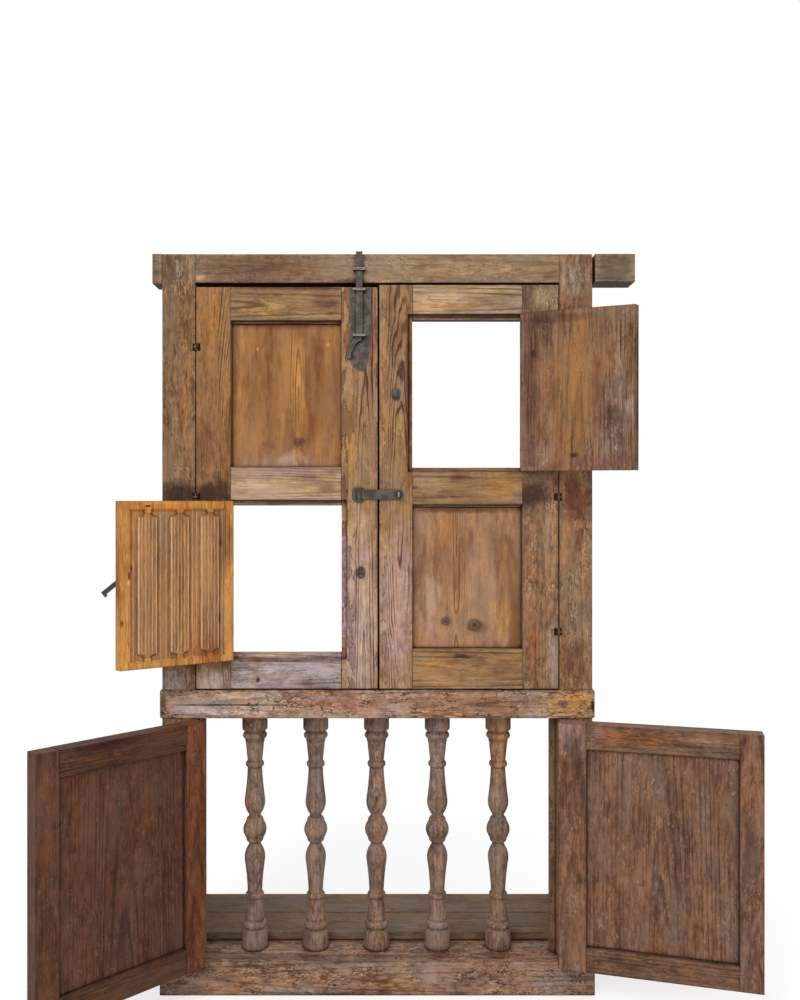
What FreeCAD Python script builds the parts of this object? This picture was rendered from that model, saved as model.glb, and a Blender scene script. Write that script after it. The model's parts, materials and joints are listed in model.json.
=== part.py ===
import FreeCAD, Part
import math
import os
from FreeCAD import Placement, Rotation, Vector

# Colonial trastero: a horned door frame on an open-backed plank carcase. Two framed
# upper doors each carry one fixed panel and one small wicket; two lower doors close
# over a row of turned balusters. Millimetres, +Z up, front towards -Y, origin on the
# floor in the middle of the frame's front plane.

# Driving sizes
overrun = 5.0                    # how far every cut runs past what it cuts

frame_width = 1075.0
cabinet_depth = 400.0
stile_width = 82.5
stile_depth = 70.0
lap_depth = 35.0                 # half-lap between the stiles and the three rails
bottom_rail_height = 85.0
lower_opening_height = 607.5
mid_rail_height = 70.0
upper_opening_height = 1018.5
lintel_height = 71.0
rail_back = 112.0                # back face of the two rails that hold the balusters
rail_proud = 4.0
rail_overhang = 6.0

horn_left = 25.0
horn_right = 107.0
horn_gap_left = 1.0
horn_gap_right = 7.0
horn_rise = 1.0                  # the horns stand this far above the lintel
horn_drop_left = 2.0             # and reach this far below it, or stop short of it
horn_drop_right = -2.5

stop_width = 15.0
stop_thickness = 23.0
stop_gap = 2.0                   # between a closed door's back and the stops
centre_post_width = 44.0

# carcase
side_thickness = 20.0
tongue_thickness = 10.0
tongue_length = 10.0
side_board_count = 2
post_width = 32.0
post_depth = 45.0
back_rail_thickness = 28.0
back_rail_tenon = 15.0
back_rail_tenon_thickness = 12.0
back_rail_shoulder = 8.0
back_top_rail_height = 50.0
back_mid_rail_height = 62.0
back_bottom_rail_height = 55.0
top_board_thickness = 20.0
top_drop = 5.0                   # top boards lie this far under the lintel's top
floor_thickness = 20.0
cleat_size = 20.0
mid_floor_rise = 7.5             # above the mid rail; the shelf lies at the doors' middle
shelf_front = 80.0
board_count = 2
board_gap = 1.0

# leaves
leaf_gap = 2.0                   # between a leaf's hinge edge and its jamb
meeting_gap = 4.0
meeting_offset = 3.0             # the upper doors meet right of the middle
door_thickness = 45.0
door_bottom_gap = 3.0
left_door_top_gap = 11.0
right_door_top_gap = 5.5
rail_tenon_length = 60.0
rail_tenon_thickness = 14.0
rail_tenon_set_back = 24.0
rail_tenon_shoulder = 12.0
panel_recess = 20.0
panel_thickness = 14.0
panel_tongue_thickness = 8.0
panel_tongue_length = 9.0
panel_step = 6.0                 # sunk edge under the rail above a fixed panel
panel_step_depth = 12.0

left_hinge_stile = 86.0
left_meeting_stile = 91.0
left_top_rail = 89.5
left_mid_rail = 96.5
left_bottom_rail = 86.0
left_lower_bay = 372.0
left_rebate = 14.0

right_hinge_stile = 90.0
right_meeting_stile = 83.0
right_top_rail = 84.5
right_mid_rail = 99.0
right_bottom_rail = 99.5
right_lower_bay = 355.0
right_rebate = 11.5

# wickets
wicket_thickness = 20.0
wicket_seat_gap = 0.5
wicket_edge_gap = 1.5            # along the free edge
wicket_end_gap = 2.0             # above and below
wicket_bevel = 5.0               # the free edge slopes in by this to the inner face
left_wicket_open = 148.2
right_wicket_open = 156.5
right_wicket_lean = 0.6          # its worn hinge line leans out, so the leaf sags

# lower doors
lower_meeting_shift = 22.0       # the lower doors meet left of the middle
lower_top_gap = 2.0
lower_stile_width = 54.0
lower_right_hinge_stile = 68.0   # the right door's is a wider board
lower_rail_height = 60.0
lower_tenon_length = 38.0
left_lower_open = 136.0
right_lower_open = 165.0

# linenfold carving on the left wicket's inner face
fold_margin_hinge = 20.5
fold_margin_free = 21.5
fold_margin_top = 18.5
fold_margin_bottom = 14.5
fold_ground_depth = 8.0
fold_border_height = 2.2
fold_border_inset = 9.8
fold_inset = 14.0
fold_count = 3
fold_height = 6.6
fold_point = 15.0                # how far the ogee ends rise to their points
fold_end_gap = 5.0
# one ogee end from its shoulder to its point: across and up
ogee_shares = [(0.00, 0.00), (0.16, 0.12), (0.27, 0.46), (0.36, 0.60), (0.50, 1.00)]
# one fold across its width: along and height
fold_profile_shares = [
    (0.00, 0.00), (0.10, 0.20), (0.20, 0.66), (0.31, 0.62), (0.38, 0.34),
    (0.44, 0.84), (0.50, 1.00), (0.56, 0.84), (0.62, 0.34), (0.69, 0.62),
    (0.80, 0.66), (0.90, 0.20), (1.00, 0.00),
]

# turned balusters
baluster_count = 5
baluster_pitch = 157.0
baluster_shift = -2.5            # the row stands a little left of the middle
baluster_radius = 32.5
baluster_centre = 79.0
baluster_tenon_size = 20.0
baluster_tenon_length = 18.0
baluster_sides = 16              # the round is built in flats, which keeps it light
# one half from the collar to the middle: height and radius
baluster_profile_shares = [
    (0.000, 1.00), (0.150, 1.00), (0.171, 0.79), (0.201, 0.95), (0.239, 0.73),
    (0.420, 0.58), (0.445, 0.72), (0.478, 0.57), (0.620, 0.66), (0.760, 0.82),
    (0.850, 0.60), (0.885, 0.46), (0.915, 0.66), (1.000, 0.92),
]

# linked-eye hinges
hinge_axis_y = -1.5              # the eyes' line, just proud of the leaf
pin_radius = 2.5
running_clearance = 0.08
eye_wall = 4.0
eye_height = 5.0
eye_sides = 8                    # the eyes and rings are forged to flats
link_height = 17.0
link_thickness = 3.0
link_reach = 11.0
shank_size = 4.0
frame_shank_length = 34.0
door_shank_length = 34.0
wicket_shank_length = 19.0
notch_clearance = 0.6
shank_angle = 45.0
upper_hinge_low_rise = 145.5     # the low hinge, above the upper opening's foot
upper_hinge_mid_drop = 26.75     # the middle one, below the doors' middle
upper_hinge_high_drop = 161.0    # the high one, below the lintel
lower_hinge_inset = 110.0
left_wicket_hinge_inset = 55.0
right_wicket_hinge_inset = 55.0

# slide bolt on the left door
bolt_x = -45.0
bolt_width = 16.0
bolt_thickness = 8.0
bolt_rise = 4.5                  # above the lintel's top
bolt_length = 212.5
bolt_fit = 0.3
plate_thickness = 2.0
bolt_plate_x = -42.0
bolt_plate_width = 52.5
bolt_plate_top_gap = 1.5
bolt_plate_length = 210.0
# the plate's outline from the top right, clockwise: across from its middle, and down
bolt_plate_shares = [
    (1.00, 0.00), (1.00, 0.48), (0.87, 0.74), (0.74, 0.85), (0.56, 0.93), (0.20, 1.00),
    (-0.16, 0.985), (-0.48, 0.95), (-0.80, 0.93), (-0.94, 0.85), (-1.00, 0.60), (-1.00, 0.00),
]
staple_wall = 6.5
staple_height = 6.0
lintel_staple_drop = 39.5        # below the lintel's top
upper_staple_drop = 8.5          # below the left door's top
lower_staple_rise = 3.5          # above the bolt's lower end
handle_thickness = 6.0
handle_length = 54.0
# the curled tail's outline after the bolt's two corners: right of its middle and down
handle_shares = [
    (0.06, 0.17), (-0.15, 0.30), (-0.36, 0.71), (-0.38, 1.00),
    (-0.57, 1.00), (-0.54, 0.65), (-0.31, 0.20),
]
bolt_travel = 95.0

# hasp across the meeting line
hasp_x = -46.0
hasp_drop = 20.75                # below the doors' middle
hasp_height = 24.0
hasp_thickness = 3.0
hasp_length = 110.0
hasp_knuckle_wall = 3.0
hasp_ear = 5.0
hasp_ear_gap = 0.4
hasp_plate_width = 34.0
hasp_corner = 6.0
hasp_slot_from_end = 11.0
hasp_slot_width = 9.0
hasp_slot_height = 13.5
hasp_eye_thickness = 4.0
hasp_eye_height = 11.5
hasp_eye_reach = 20.0
hasp_eye_hole = 3.2
hasp_eye_plate = 26.0

# wicket hooks and the eyes that take them
hook_width = 11.0
hook_thickness = 5.0
hook_ring_radius = 9.0
hook_pivot_radius = 3.0
hook_pivot_inset = 24.0
hook_tip_width = 7.5
hook_tip_length = 15.5
hook_head_radius = 6.0
hook_head_thickness = 2.0
hook_rosette = 18.0
hook_play = 0.4
hook_stand_off = 8.5             # from the doors' faces to the hooks' backs
left_hook_rest = 37.5            # below level; the right one hangs straight down
right_hook_rest = 90.0
keeper_ring_radius = 8.5
keeper_ring_hole = 5.1
keeper_ring_height = 4.0
keeper_stem = 6.0
keeper_knob_width = 19.0
keeper_knob_height = 28.0
keeper_knob_thickness = 5.0
left_keeper_x = -40.75
right_keeper_x = 46.75
left_keeper_rise = 205.5         # above the foot of the wicket's bay
right_keeper_rise = 183.5

# Levels that follow from them
half_width = frame_width / 2
jamb = half_width - stile_width
mid_rail_z = bottom_rail_height + lower_opening_height
upper_z = mid_rail_z + mid_rail_height
lintel_z = upper_z + upper_opening_height
frame_top = lintel_z + lintel_height
door_middle = (upper_z + lintel_z) / 2
hinge_x = jamb - leaf_gap / 2
door_low = upper_z + door_bottom_gap
lower_low = bottom_rail_height + door_bottom_gap
lower_high = mid_rail_z - lower_top_gap
side_top = frame_top - top_drop - top_board_thickness
mid_floor_height = upper_z + mid_floor_rise
shelf_height = door_middle
upper_hinge_heights = (
    upper_z + upper_hinge_low_rise,
    door_middle - upper_hinge_mid_drop,
    lintel_z - upper_hinge_high_drop,
)
bolt_top = frame_top + bolt_rise
lintel_staple_z = frame_top - lintel_staple_drop
hasp_z = door_middle - hasp_drop
side_inner = half_width - side_thickness
post_front = cabinet_depth - post_depth
stop_front = door_thickness + stop_gap
eye_bore = pin_radius + running_clearance
eye_radius = eye_bore + eye_wall
rebate_depth = wicket_thickness + wicket_seat_gap


def box(x, y, z):
    """A box from three (low, high) pairs."""
    size = [high - low for low, high in (x, y, z)]
    return Part.makeBox(*size, Vector(x[0], y[0], z[0]))


def around(centre, width):
    return centre - width / 2, centre + width / 2


def rod(radius, low, high, x=0, y=0):
    """An upright cylinder."""
    return Part.makeCylinder(radius, high - low, Vector(x, y, low))


def flats(radius, sides, x=0, y=0):
    """The corners of a regular outline with a flat on each axis."""
    angles = [math.pi * (2 * n + 1) / sides for n in range(sides)]
    return [(x + radius * math.cos(a), y + radius * math.sin(a)) for a in angles]


def around_flats(radius):
    """The corner radius of a forged outline whose flats clear a round one."""
    return radius / math.cos(math.pi / eye_sides)


def prism(radius, low, high, x=0, y=0):
    """An upright rod forged to flats."""
    points = [Vector(px, py, low) for px, py in flats(radius, eye_sides, x, y)]
    face = Part.Face(Part.makePolygon(points + points[:1]))
    return face.extrude(Vector(0, 0, high - low))


def turning(outline, sides):
    """A turned solid in flats, from its (radius, height) outline."""
    rings = [[Vector(x, y, up) for x, y in flats(out, sides)] for out, up in outline]
    faces = [Part.Face(Part.makePolygon(r + r[:1])) for r in (rings[0], rings[-1])]
    for low, high in zip(rings, rings[1:]):
        for n in range(sides):
            corners = [low[n - 1], low[n], high[n], high[n - 1], low[n - 1]]
            faces.append(Part.Face(Part.makePolygon(corners)))
    return Part.makeSolid(Part.makeShell(faces))


def plate(points, low, high):
    """An outline in X and Z, extruded from Y low to Y high."""
    corners = [Vector(x, low, z) for x, z in points]
    face = Part.Face(Part.makePolygon(corners + corners[:1]))
    return face.extrude(Vector(0, high - low, 0))


def fuse(first, *others):
    for other in others:
        first = first.fuse(other)
    return first.removeSplitter()


def cut(first, *others):
    for other in others:
        first = first.cut(other)
    return first


def turned(shape, degrees, point, axis):
    """A copy of a shape turned about an axis through a point."""
    copy = shape.copy()
    copy.rotate(point, axis, degrees)
    return copy


def moved(shape, x=0, y=0, z=0):
    copy = shape.copy()
    copy.translate(Vector(x, y, z))
    return copy


def solids(shapes):
    return Part.makeCompound(list(shapes))


def leaf_point(side, axis_x, along):
    """Where a distance along a closed leaf from its hinge line lies in X."""
    return side * (axis_x - along)


def set_leaf(shape, side, axis_x, open_angle=0, lean=0, pivot_z=0):
    """Moves a leaf from its own place, hinge line at x = 0 and body towards +x, to its
    jamb. side is -1 on the left and 1 on the right."""
    pivot = Vector(0, hinge_axis_y, pivot_z)
    axis = Rotation(Vector(-1, 0, 0), -lean).multVec(Vector(0, 0, 1))
    shape = turned(shape, -open_angle, pivot, axis)
    if side > 0:
        shape = shape.mirror(Vector(0, 0, 0), Vector(1, 0, 0))
    return moved(shape, side * axis_x)


def hinge_eye(z, length):
    """The jamb's half: a flat eye on a square shank driven slantwise into the arris."""
    low, high = around(z, eye_height)
    ring = prism(eye_radius, low, high, 0, hinge_axis_y)
    bore = prism(around_flats(eye_bore), low - overrun, high + overrun, 0, hinge_axis_y)
    shank = box(
        (eye_radius - eye_wall / 2, length), around(0, shank_size), around(z, shank_size)
    )
    shank = turned(shank, 180 - shank_angle, Vector(0, 0, 0), Vector(0, 0, 1))
    return fuse(ring, moved(shank, 0, hinge_axis_y)).cut(bore)


def hinge_link(z, length):
    """The leaf's half: a loop whose near leg stands in the eye as its pin."""
    low, high = around(z, link_height)
    inner = low + link_thickness, high - link_thickness
    loop = box((0, link_reach), around(0, shank_size), (low, high)).cut(
        box((-overrun, link_reach - link_thickness), around(0, shank_size + overrun), inner)
    )
    shank = box(
        (link_reach - link_thickness, length), around(0, shank_size), around(z, shank_size)
    )
    arm = turned(fuse(loop, shank), shank_angle, Vector(0, 0, 0), Vector(0, 0, 1))
    return fuse(rod(pin_radius, low, high, 0, hinge_axis_y), moved(arm, 0, hinge_axis_y))


def jamb_notch(z):
    """The pocket that clears the loop where a jamb's arris is cut back for it."""
    low, high = around(z, link_height + notch_clearance * 2)
    return prism(around_flats(eye_radius + notch_clearance), low, high, 0, hinge_axis_y)


def leaf_notch(z):
    low, high = around(z, link_height + notch_clearance * 2)
    return prism(around_flats(link_reach + notch_clearance), low, high, 0, hinge_axis_y)


def jamb_cuts(heights, length):
    """What a jamb loses to its eyes, hinge line at x = 0."""
    return [jamb_notch(z) for z in heights] + [hinge_eye(z, length) for z in heights]


def leaf_cuts(heights, length):
    return [leaf_notch(z) for z in heights] + [hinge_link(z, length) for z in heights]


lower_hinge_heights = (lower_low + lower_hinge_inset, lower_high - lower_hinge_inset)
frame_eyes = []


def stile(side):
    """A full-height stile, halved in front for the rails and behind for the lintel."""
    x = sorted((side * jamb, side * half_width))
    post = box(x, (0, stile_depth), (0, frame_top))
    behind = (lap_depth, stile_depth + overrun)
    front = (-overrun, lap_depth)
    wide = (x[0] - overrun, x[1] + overrun)
    post = cut(
        post,
        box(wide, front, (-overrun, bottom_rail_height)),
        box(wide, front, (mid_rail_z, upper_z)),
        box(wide, behind, (lintel_z, frame_top + overrun)),
    )
    heights = upper_hinge_heights + lower_hinge_heights
    for tool in jamb_cuts(heights, frame_shank_length):
        post = post.cut(set_leaf(tool, side, hinge_x))
    frame_eyes.extend(
        set_leaf(hinge_eye(z, frame_shank_length), side, hinge_x) for z in heights
    )
    # groove for the side boards' tongues
    outer = side * (half_width - (side_thickness - tongue_thickness) / 2)
    groove = sorted((outer, outer - side * tongue_thickness))
    depth = (stile_depth - tongue_length, stile_depth + overrun)
    return post.cut(box(groove, depth, (-overrun, lintel_z)))


def horn(side, length, gap, drop):
    """The lintel's end past the stile, left at the beam's rough height."""
    x = sorted((side * (half_width + gap), side * (half_width + length)))
    neck = sorted((side * jamb, side * (half_width + gap)))
    return fuse(
        box(x, (0, stile_depth), (lintel_z - drop, frame_top + horn_rise)),
        box(neck, (lap_depth, stile_depth), (lintel_z - min(drop, 0), frame_top)),
    )


def lintel():
    """The top beam, halved behind the stiles, with a horn past each of them."""
    beam = box((-jamb, jamb), (0, stile_depth), (lintel_z, frame_top))
    lap = box((-half_width, half_width), (lap_depth, stile_depth), (lintel_z, frame_top))
    return fuse(
        beam, lap,
        horn(-1, horn_left, horn_gap_left, horn_drop_left),
        horn(1, horn_right, horn_gap_right, horn_drop_right),
    )


def baluster_places():
    first = baluster_shift - baluster_pitch * (baluster_count - 1) / 2
    return [first + baluster_pitch * n for n in range(baluster_count)]


def lapped_rail(low, high, tenons):
    """A rail halved over the stiles in front and deep enough to hold the balusters."""
    reach = half_width + rail_overhang
    front = box((-reach, reach), (-rail_proud, lap_depth), (low, high))
    back = box((-jamb, jamb), (lap_depth, rail_back), (low, high))
    return cut(fuse(front, back), *tenons)


def baluster():
    """One turned baluster, standing on z = 0, with a square tenon at each end."""
    half = lower_opening_height / 2
    lower = [(baluster_radius * out, half * up) for up, out in baluster_profile_shares]
    upper = [(out, half * 2 - up) for out, up in lower[-2::-1]]
    peg = box(
        around(0, baluster_tenon_size), around(0, baluster_tenon_size),
        (-baluster_tenon_length, half * 2 + baluster_tenon_length),
    )
    return turning(lower + upper, baluster_sides).fuse(peg)


def baluster_pegs(low, high):
    y = around(baluster_centre, baluster_tenon_size)
    return [box(around(x, baluster_tenon_size), y, (low, high)) for x in baluster_places()]


def side_boards(side):
    """Upright boards between the stile and the back post, halved over each other."""
    first, last = stile_depth, post_front
    step = (last - first) / side_board_count
    x = sorted((side * side_inner, side * half_width))
    middle = side * (half_width - side_thickness / 2)
    outer = sorted((middle, side * half_width))
    tongue = around(middle, tongue_thickness)
    made = []
    for n in range(side_board_count):
        start, end = first + step * n, first + step * (n + 1)
        board = box(x, (start, end), (0, side_top))
        if n == 0:
            board = board.fuse(box(tongue, (start - tongue_length, start), (0, lintel_z)))
        else:
            lip = (start - overrun, start + tongue_length)
            board = board.cut(box((outer[0], outer[1]), lip, (-overrun, side_top + overrun)))
        reach = (end, end + tongue_length)
        if n == side_board_count - 1:
            board = board.fuse(box(tongue, reach, (0, side_top)))
        else:
            board = board.fuse(box(outer, reach, (0, side_top)))
        made.append(board.removeSplitter())
    return solids(made)


def back_post(side, tenons):
    x = sorted((side * half_width, side * (half_width - post_width)))
    post = box(x, (post_front, cabinet_depth), (0, side_top))
    middle = side * (half_width - side_thickness / 2)
    groove = box(
        around(middle, tongue_thickness),
        (post_front - overrun, post_front + tongue_length),
        (-overrun, side_top + overrun),
    )
    return cut(post, groove, *tenons)


def back_rail(low, high):
    """A rail between the back posts, tenoned into both."""
    reach = half_width - post_width
    back = post_front + back_rail_thickness
    tenon = reach + back_rail_tenon
    return fuse(
        box((-reach, reach), (post_front, back), (low, high)),
        box(
            (-tenon, tenon),
            around((post_front + back) / 2, back_rail_tenon_thickness),
            (low + back_rail_shoulder, high - back_rail_shoulder),
        ),
    )


def boards(x, y, z):
    """Loose boards laid side by side from front to back."""
    step = (y[1] - y[0] + board_gap) / board_count
    return solids(
        box(x, (y[0] + step * n, y[0] + step * (n + 1) - board_gap), z)
        for n in range(board_count)
    )


def cleats():
    made = []
    for top in (bottom_rail_height, mid_floor_height - floor_thickness,
                shelf_height - floor_thickness):
        for side in (-1, 1):
            x = sorted((side * side_inner, side * (side_inner - cleat_size)))
            made.append(box(x, (stile_depth, post_front), (top - cleat_size, top)))
    reach = side_inner - cleat_size
    for top in (bottom_rail_height, mid_floor_height - floor_thickness):
        made.append(
            box((-reach, reach), (rail_back, rail_back + cleat_size), (top - cleat_size, top))
        )
    return made


class Door:
    """One framed upper door in its own place: hinge line at x = 0, body towards +x."""

    def __init__(self, side, width, top_gap, stiles, rails, lower_bay, rebate, wicket_low):
        self.side, self.rebate = side, rebate
        door_high = lintel_z - top_gap
        self.start = leaf_gap / 2
        self.end = self.start + width
        self.hinge_edge = self.start + stiles[0]
        self.meeting_edge = self.end - stiles[1]
        top, mid, bottom = rails
        levels = [door_low, door_low + bottom, door_low + bottom + lower_bay]
        levels += [levels[2] + mid, door_high - top, door_high]
        self.levels = levels
        bays = (levels[1], levels[2]), (levels[3], levels[4])
        self.wicket_bay, self.panel_bay = bays if wicket_low else bays[::-1]
        self.axis = self.hinge_edge + leaf_gap / 2

    def wicket_axis_x(self):
        return hinge_x - self.axis

    def tenon(self, low, high):
        return box(
            (self.hinge_edge - rail_tenon_length, self.meeting_edge + rail_tenon_length),
            (rail_tenon_set_back, rail_tenon_set_back + rail_tenon_thickness),
            (low + rail_tenon_shoulder, high - rail_tenon_shoulder),
        )

    def panel(self, slack=0):
        low, high = self.panel_bay
        reach = panel_tongue_length + slack
        middle = panel_recess + panel_thickness / 2
        tongue = box(
            (self.hinge_edge - reach, self.meeting_edge + reach),
            around(middle, panel_tongue_thickness),
            (low - reach, high + reach),
        )
        field = box(
            (self.hinge_edge, self.meeting_edge),
            (panel_recess, panel_recess + panel_thickness),
            (low, high),
        )
        return fuse(field, tongue)

    def front_opening(self):
        """The wicket's rebate: along, height."""
        low, high = self.wicket_bay
        return (
            (self.hinge_edge, self.meeting_edge + self.rebate),
            (low - self.rebate, high + self.rebate),
        )

    def wicket_heights(self, inset):
        low, high = self.front_opening()[1]
        return low + inset, high - inset

    def pieces(self, wicket_inset, lean):
        """The door's pieces by name; its irons are its own loops and the wicket's eyes."""
        z0, z1, z2, z3, z4, z5 = self.levels
        spans = {"bottom_rail": (z0, z1), "mid_rail": (z2, z3), "top_rail": (z4, z5)}
        along, height = self.front_opening()
        rebate = box(along, (-overrun, rebate_depth), height)
        step = box(
            (self.hinge_edge, self.meeting_edge),
            (-overrun, panel_step_depth),
            (self.panel_bay[1] - overrun, self.panel_bay[1] + panel_step),
        )
        groove = self.panel(board_gap)
        made = {}
        for name, span in spans.items():
            rail = box((self.hinge_edge, self.meeting_edge), (0, door_thickness), span)
            made[name] = cut(fuse(rail, self.tenon(*span)), rebate, groove, step)
        tenons = [self.tenon(*span) for span in spans.values()]
        full = (0, door_thickness), (z0, z5)
        hinge_stile = box((self.start, self.hinge_edge), *full)
        hinge_stile = cut(hinge_stile, groove, *tenons)
        for tool in leaf_cuts(upper_hinge_heights, door_shank_length):
            hinge_stile = hinge_stile.cut(tool)
        heights = self.wicket_heights(wicket_inset)
        pivot = Vector(self.axis, hinge_axis_y, self.wicket_bay[0])

        def on_wicket_line(shape):
            return turned(moved(shape, self.axis), lean, pivot, Vector(1, 0, 0))

        for tool in jamb_cuts(heights, door_shank_length):
            hinge_stile = hinge_stile.cut(on_wicket_line(tool))
        made["hinge_stile"] = hinge_stile
        made["meeting_stile"] = cut(
            box((self.meeting_edge, self.end), *full), rebate, groove, *tenons
        )
        made["panel"] = self.panel()
        links = [hinge_link(z, door_shank_length) for z in upper_hinge_heights]
        eyes = [on_wicket_line(hinge_eye(z, door_shank_length)) for z in heights]
        made["hinge_irons"] = solids(links + eyes)
        return {k: set_leaf(v, self.side, hinge_x) for k, v in made.items()}

    def wicket_size(self):
        """The wicket's board in its own place: hinge line at x = 0."""
        along, height = self.front_opening()
        return (
            (leaf_gap / 2, along[1] - self.axis - wicket_edge_gap),
            (height[0] + wicket_end_gap, height[1] - wicket_end_gap),
        )

    def wicket(self, inset, lean):
        """The plain board and its hinge loops, closed, in the wicket's own place."""
        along, height = self.wicket_size()
        inner = along[1] - wicket_bevel
        plan = [(along[0], 0), (along[1], 0), (inner, wicket_thickness), (along[0], wicket_thickness)]
        corners = [Vector(x, y, height[0]) for x, y in plan]
        face = Part.Face(Part.makePolygon(corners + corners[:1]))
        board = face.extrude(Vector(0, 0, height[1] - height[0]))
        pivot = Vector(0, hinge_axis_y, self.wicket_bay[0])
        heights = self.wicket_heights(inset)

        def leant(shape):
            return turned(shape, lean, pivot, Vector(1, 0, 0))

        for tool in leaf_cuts(heights, wicket_shank_length):
            board = board.cut(leant(tool))
        links = solids(leant(hinge_link(z, wicket_shank_length)) for z in heights)
        return board, links


def ogee_outline(low_x, high_x, low_z, high_z, rise, y0, y1):
    """A tall field whose two ends rise in a double curve to a point."""
    width = high_x - low_x
    top = [(low_x + width * across, high_z + rise * up) for across, up in ogee_shares]
    top += [(low_x + high_x - x, z) for x, z in top[-2::-1]]
    foot = [(low_x + width * across, low_z - rise * up) for across, up in ogee_shares]
    foot += [(low_x + high_x - x, z) for x, z in foot[-2::-1]]
    return plate(top + foot[::-1], y0, y1)


def fold_run(low_x, high_x, low_z, high_z, ground):
    """One fold of cloth as a moulding run from bottom to top."""
    width = high_x - low_x
    points = [
        Vector(low_x + width * along, ground + fold_height * up, low_z)
        for along, up in fold_profile_shares
    ]
    face = Part.Face(Part.makePolygon(points + points[:1]))
    return face.extrude(Vector(0, 0, high_z - low_z))


def carve_linenfold(board, along, height):
    """Sinks a ground into the board's inner face and leaves the folds standing in it."""
    x = along[0] + fold_margin_hinge, along[1] - wicket_bevel - fold_margin_free
    z = height[0] + fold_margin_bottom, height[1] - fold_margin_top
    ground = wicket_thickness - fold_ground_depth
    board = board.cut(box(x, (ground, wicket_thickness + overrun), z))
    pitch = (x[1] - x[0]) / fold_count
    for n in range(fold_count):
        left, right = x[0] + pitch * n, x[0] + pitch * (n + 1)
        low, high = z[0] + fold_end_gap + fold_point, z[1] - fold_end_gap - fold_point
        border = ogee_outline(
            left + fold_border_inset, right - fold_border_inset, low, high,
            fold_point, ground, ground + fold_border_height,
        )
        shape = ogee_outline(
            left + fold_inset, right - fold_inset,
            low + fold_inset / 2, high - fold_inset / 2,
            fold_point - fold_border_inset, ground, ground + fold_ground_depth,
        )
        run = fold_run(left + fold_inset, right - fold_inset, z[0], z[1], ground)
        board = board.fuse(border.fuse(run.common(shape)))
    return board.removeSplitter()


def lower_door(side):
    """A framed lower door in its own place: hinge line at x = 0, closed."""
    start = leaf_gap / 2
    end = hinge_x - meeting_gap / 2 + side * lower_meeting_shift
    hinge_width = lower_stile_width if side < 0 else lower_right_hinge_stile
    inner = start + hinge_width, end - lower_stile_width
    bay = lower_low + lower_rail_height, lower_high - lower_rail_height
    panel_y = panel_recess, panel_recess + panel_thickness
    middle = around(panel_recess + panel_thickness / 2, panel_tongue_thickness)

    def panel(slack=0):
        reach = panel_tongue_length + slack
        return fuse(
            box(inner, panel_y, bay),
            box(
                (inner[0] - reach, inner[1] + reach), middle,
                (bay[0] - reach, bay[1] + reach),
            ),
        )

    def rail(low, high):
        tenon = box(
            (inner[0] - lower_tenon_length, inner[1] + lower_tenon_length),
            (rail_tenon_set_back, rail_tenon_set_back + rail_tenon_thickness),
            (low + rail_tenon_shoulder, high - rail_tenon_shoulder),
        )
        return fuse(box(inner, (0, door_thickness), (low, high)), tenon), tenon

    groove = panel(board_gap)
    low_rail, low_tenon = rail(lower_low, bay[0])
    high_rail, high_tenon = rail(bay[1], lower_high)
    full = (0, door_thickness), (lower_low, lower_high)
    hinge_stile = cut(box((start, inner[0]), *full), groove, low_tenon, high_tenon)
    for tool in leaf_cuts(lower_hinge_heights, door_shank_length):
        hinge_stile = hinge_stile.cut(tool)
    return {
        "hinge_stile": hinge_stile,
        "free_stile": cut(box((inner[1], end), *full), groove, low_tenon, high_tenon),
        "rails": solids([low_rail.cut(groove), high_rail.cut(groove)]),
        "panel": panel(),
        "hinge_links": solids(
            hinge_link(z, door_shank_length) for z in lower_hinge_heights
        ),
    }


bolt_back = -plate_thickness - bolt_fit
bolt_front = bolt_back - bolt_thickness
staple_front = bolt_front - bolt_fit


def bolt_staple(z, back):
    """A strap over the bolt, standing on the face at Y back."""
    inner = bolt_width / 2 + bolt_fit
    outer = inner + staple_wall
    low, high = around(z, staple_height)
    x = bolt_x - outer, bolt_x + outer
    strap = box(x, (staple_front - staple_height, back), (low, high))
    gap = (bolt_x - inner, bolt_x + inner), (staple_front, back + overrun)
    return strap.cut(box(*gap, (low - overrun, high + overrun)))


def bolt_plate():
    """The long plate under the bolt, its lower end drawn in to a blunt tongue."""
    top = lintel_z - left_door_top_gap - bolt_plate_top_gap
    half = bolt_plate_width / 2
    outline = [
        (bolt_plate_x + half * across, top - bolt_plate_length * down)
        for across, down in bolt_plate_shares
    ]
    return plate(outline, -plate_thickness, 0)


def bolt_bar():
    """The sliding bar with its lower end drawn out and curled to the left."""
    low = bolt_top - bolt_length
    bar = box(around(bolt_x, bolt_width), (bolt_front, bolt_back), (low, bolt_top))
    outline = [(bolt_x - bolt_width / 2, low), (bolt_x + bolt_width / 2, low)]
    outline += [
        (bolt_x + handle_length * across, low - handle_length * down)
        for across, down in handle_shares
    ]
    return fuse(bar, plate(outline, bolt_front, bolt_front + handle_thickness))


hasp_bore = pin_radius + running_clearance
hasp_knuckle = hasp_bore + hasp_knuckle_wall
hasp_axis_y = -plate_thickness - hasp_knuckle - bolt_fit


def clipped(x, z, corner):
    """A rectangle's outline with its corners clipped, from (low, high) pairs."""
    return [
        (x[0] + corner, z[0]), (x[1] - corner, z[0]), (x[1], z[0] + corner),
        (x[1], z[1] - corner), (x[1] - corner, z[1]), (x[0] + corner, z[1]),
        (x[0], z[1] - corner), (x[0], z[0] + corner),
    ]


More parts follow.
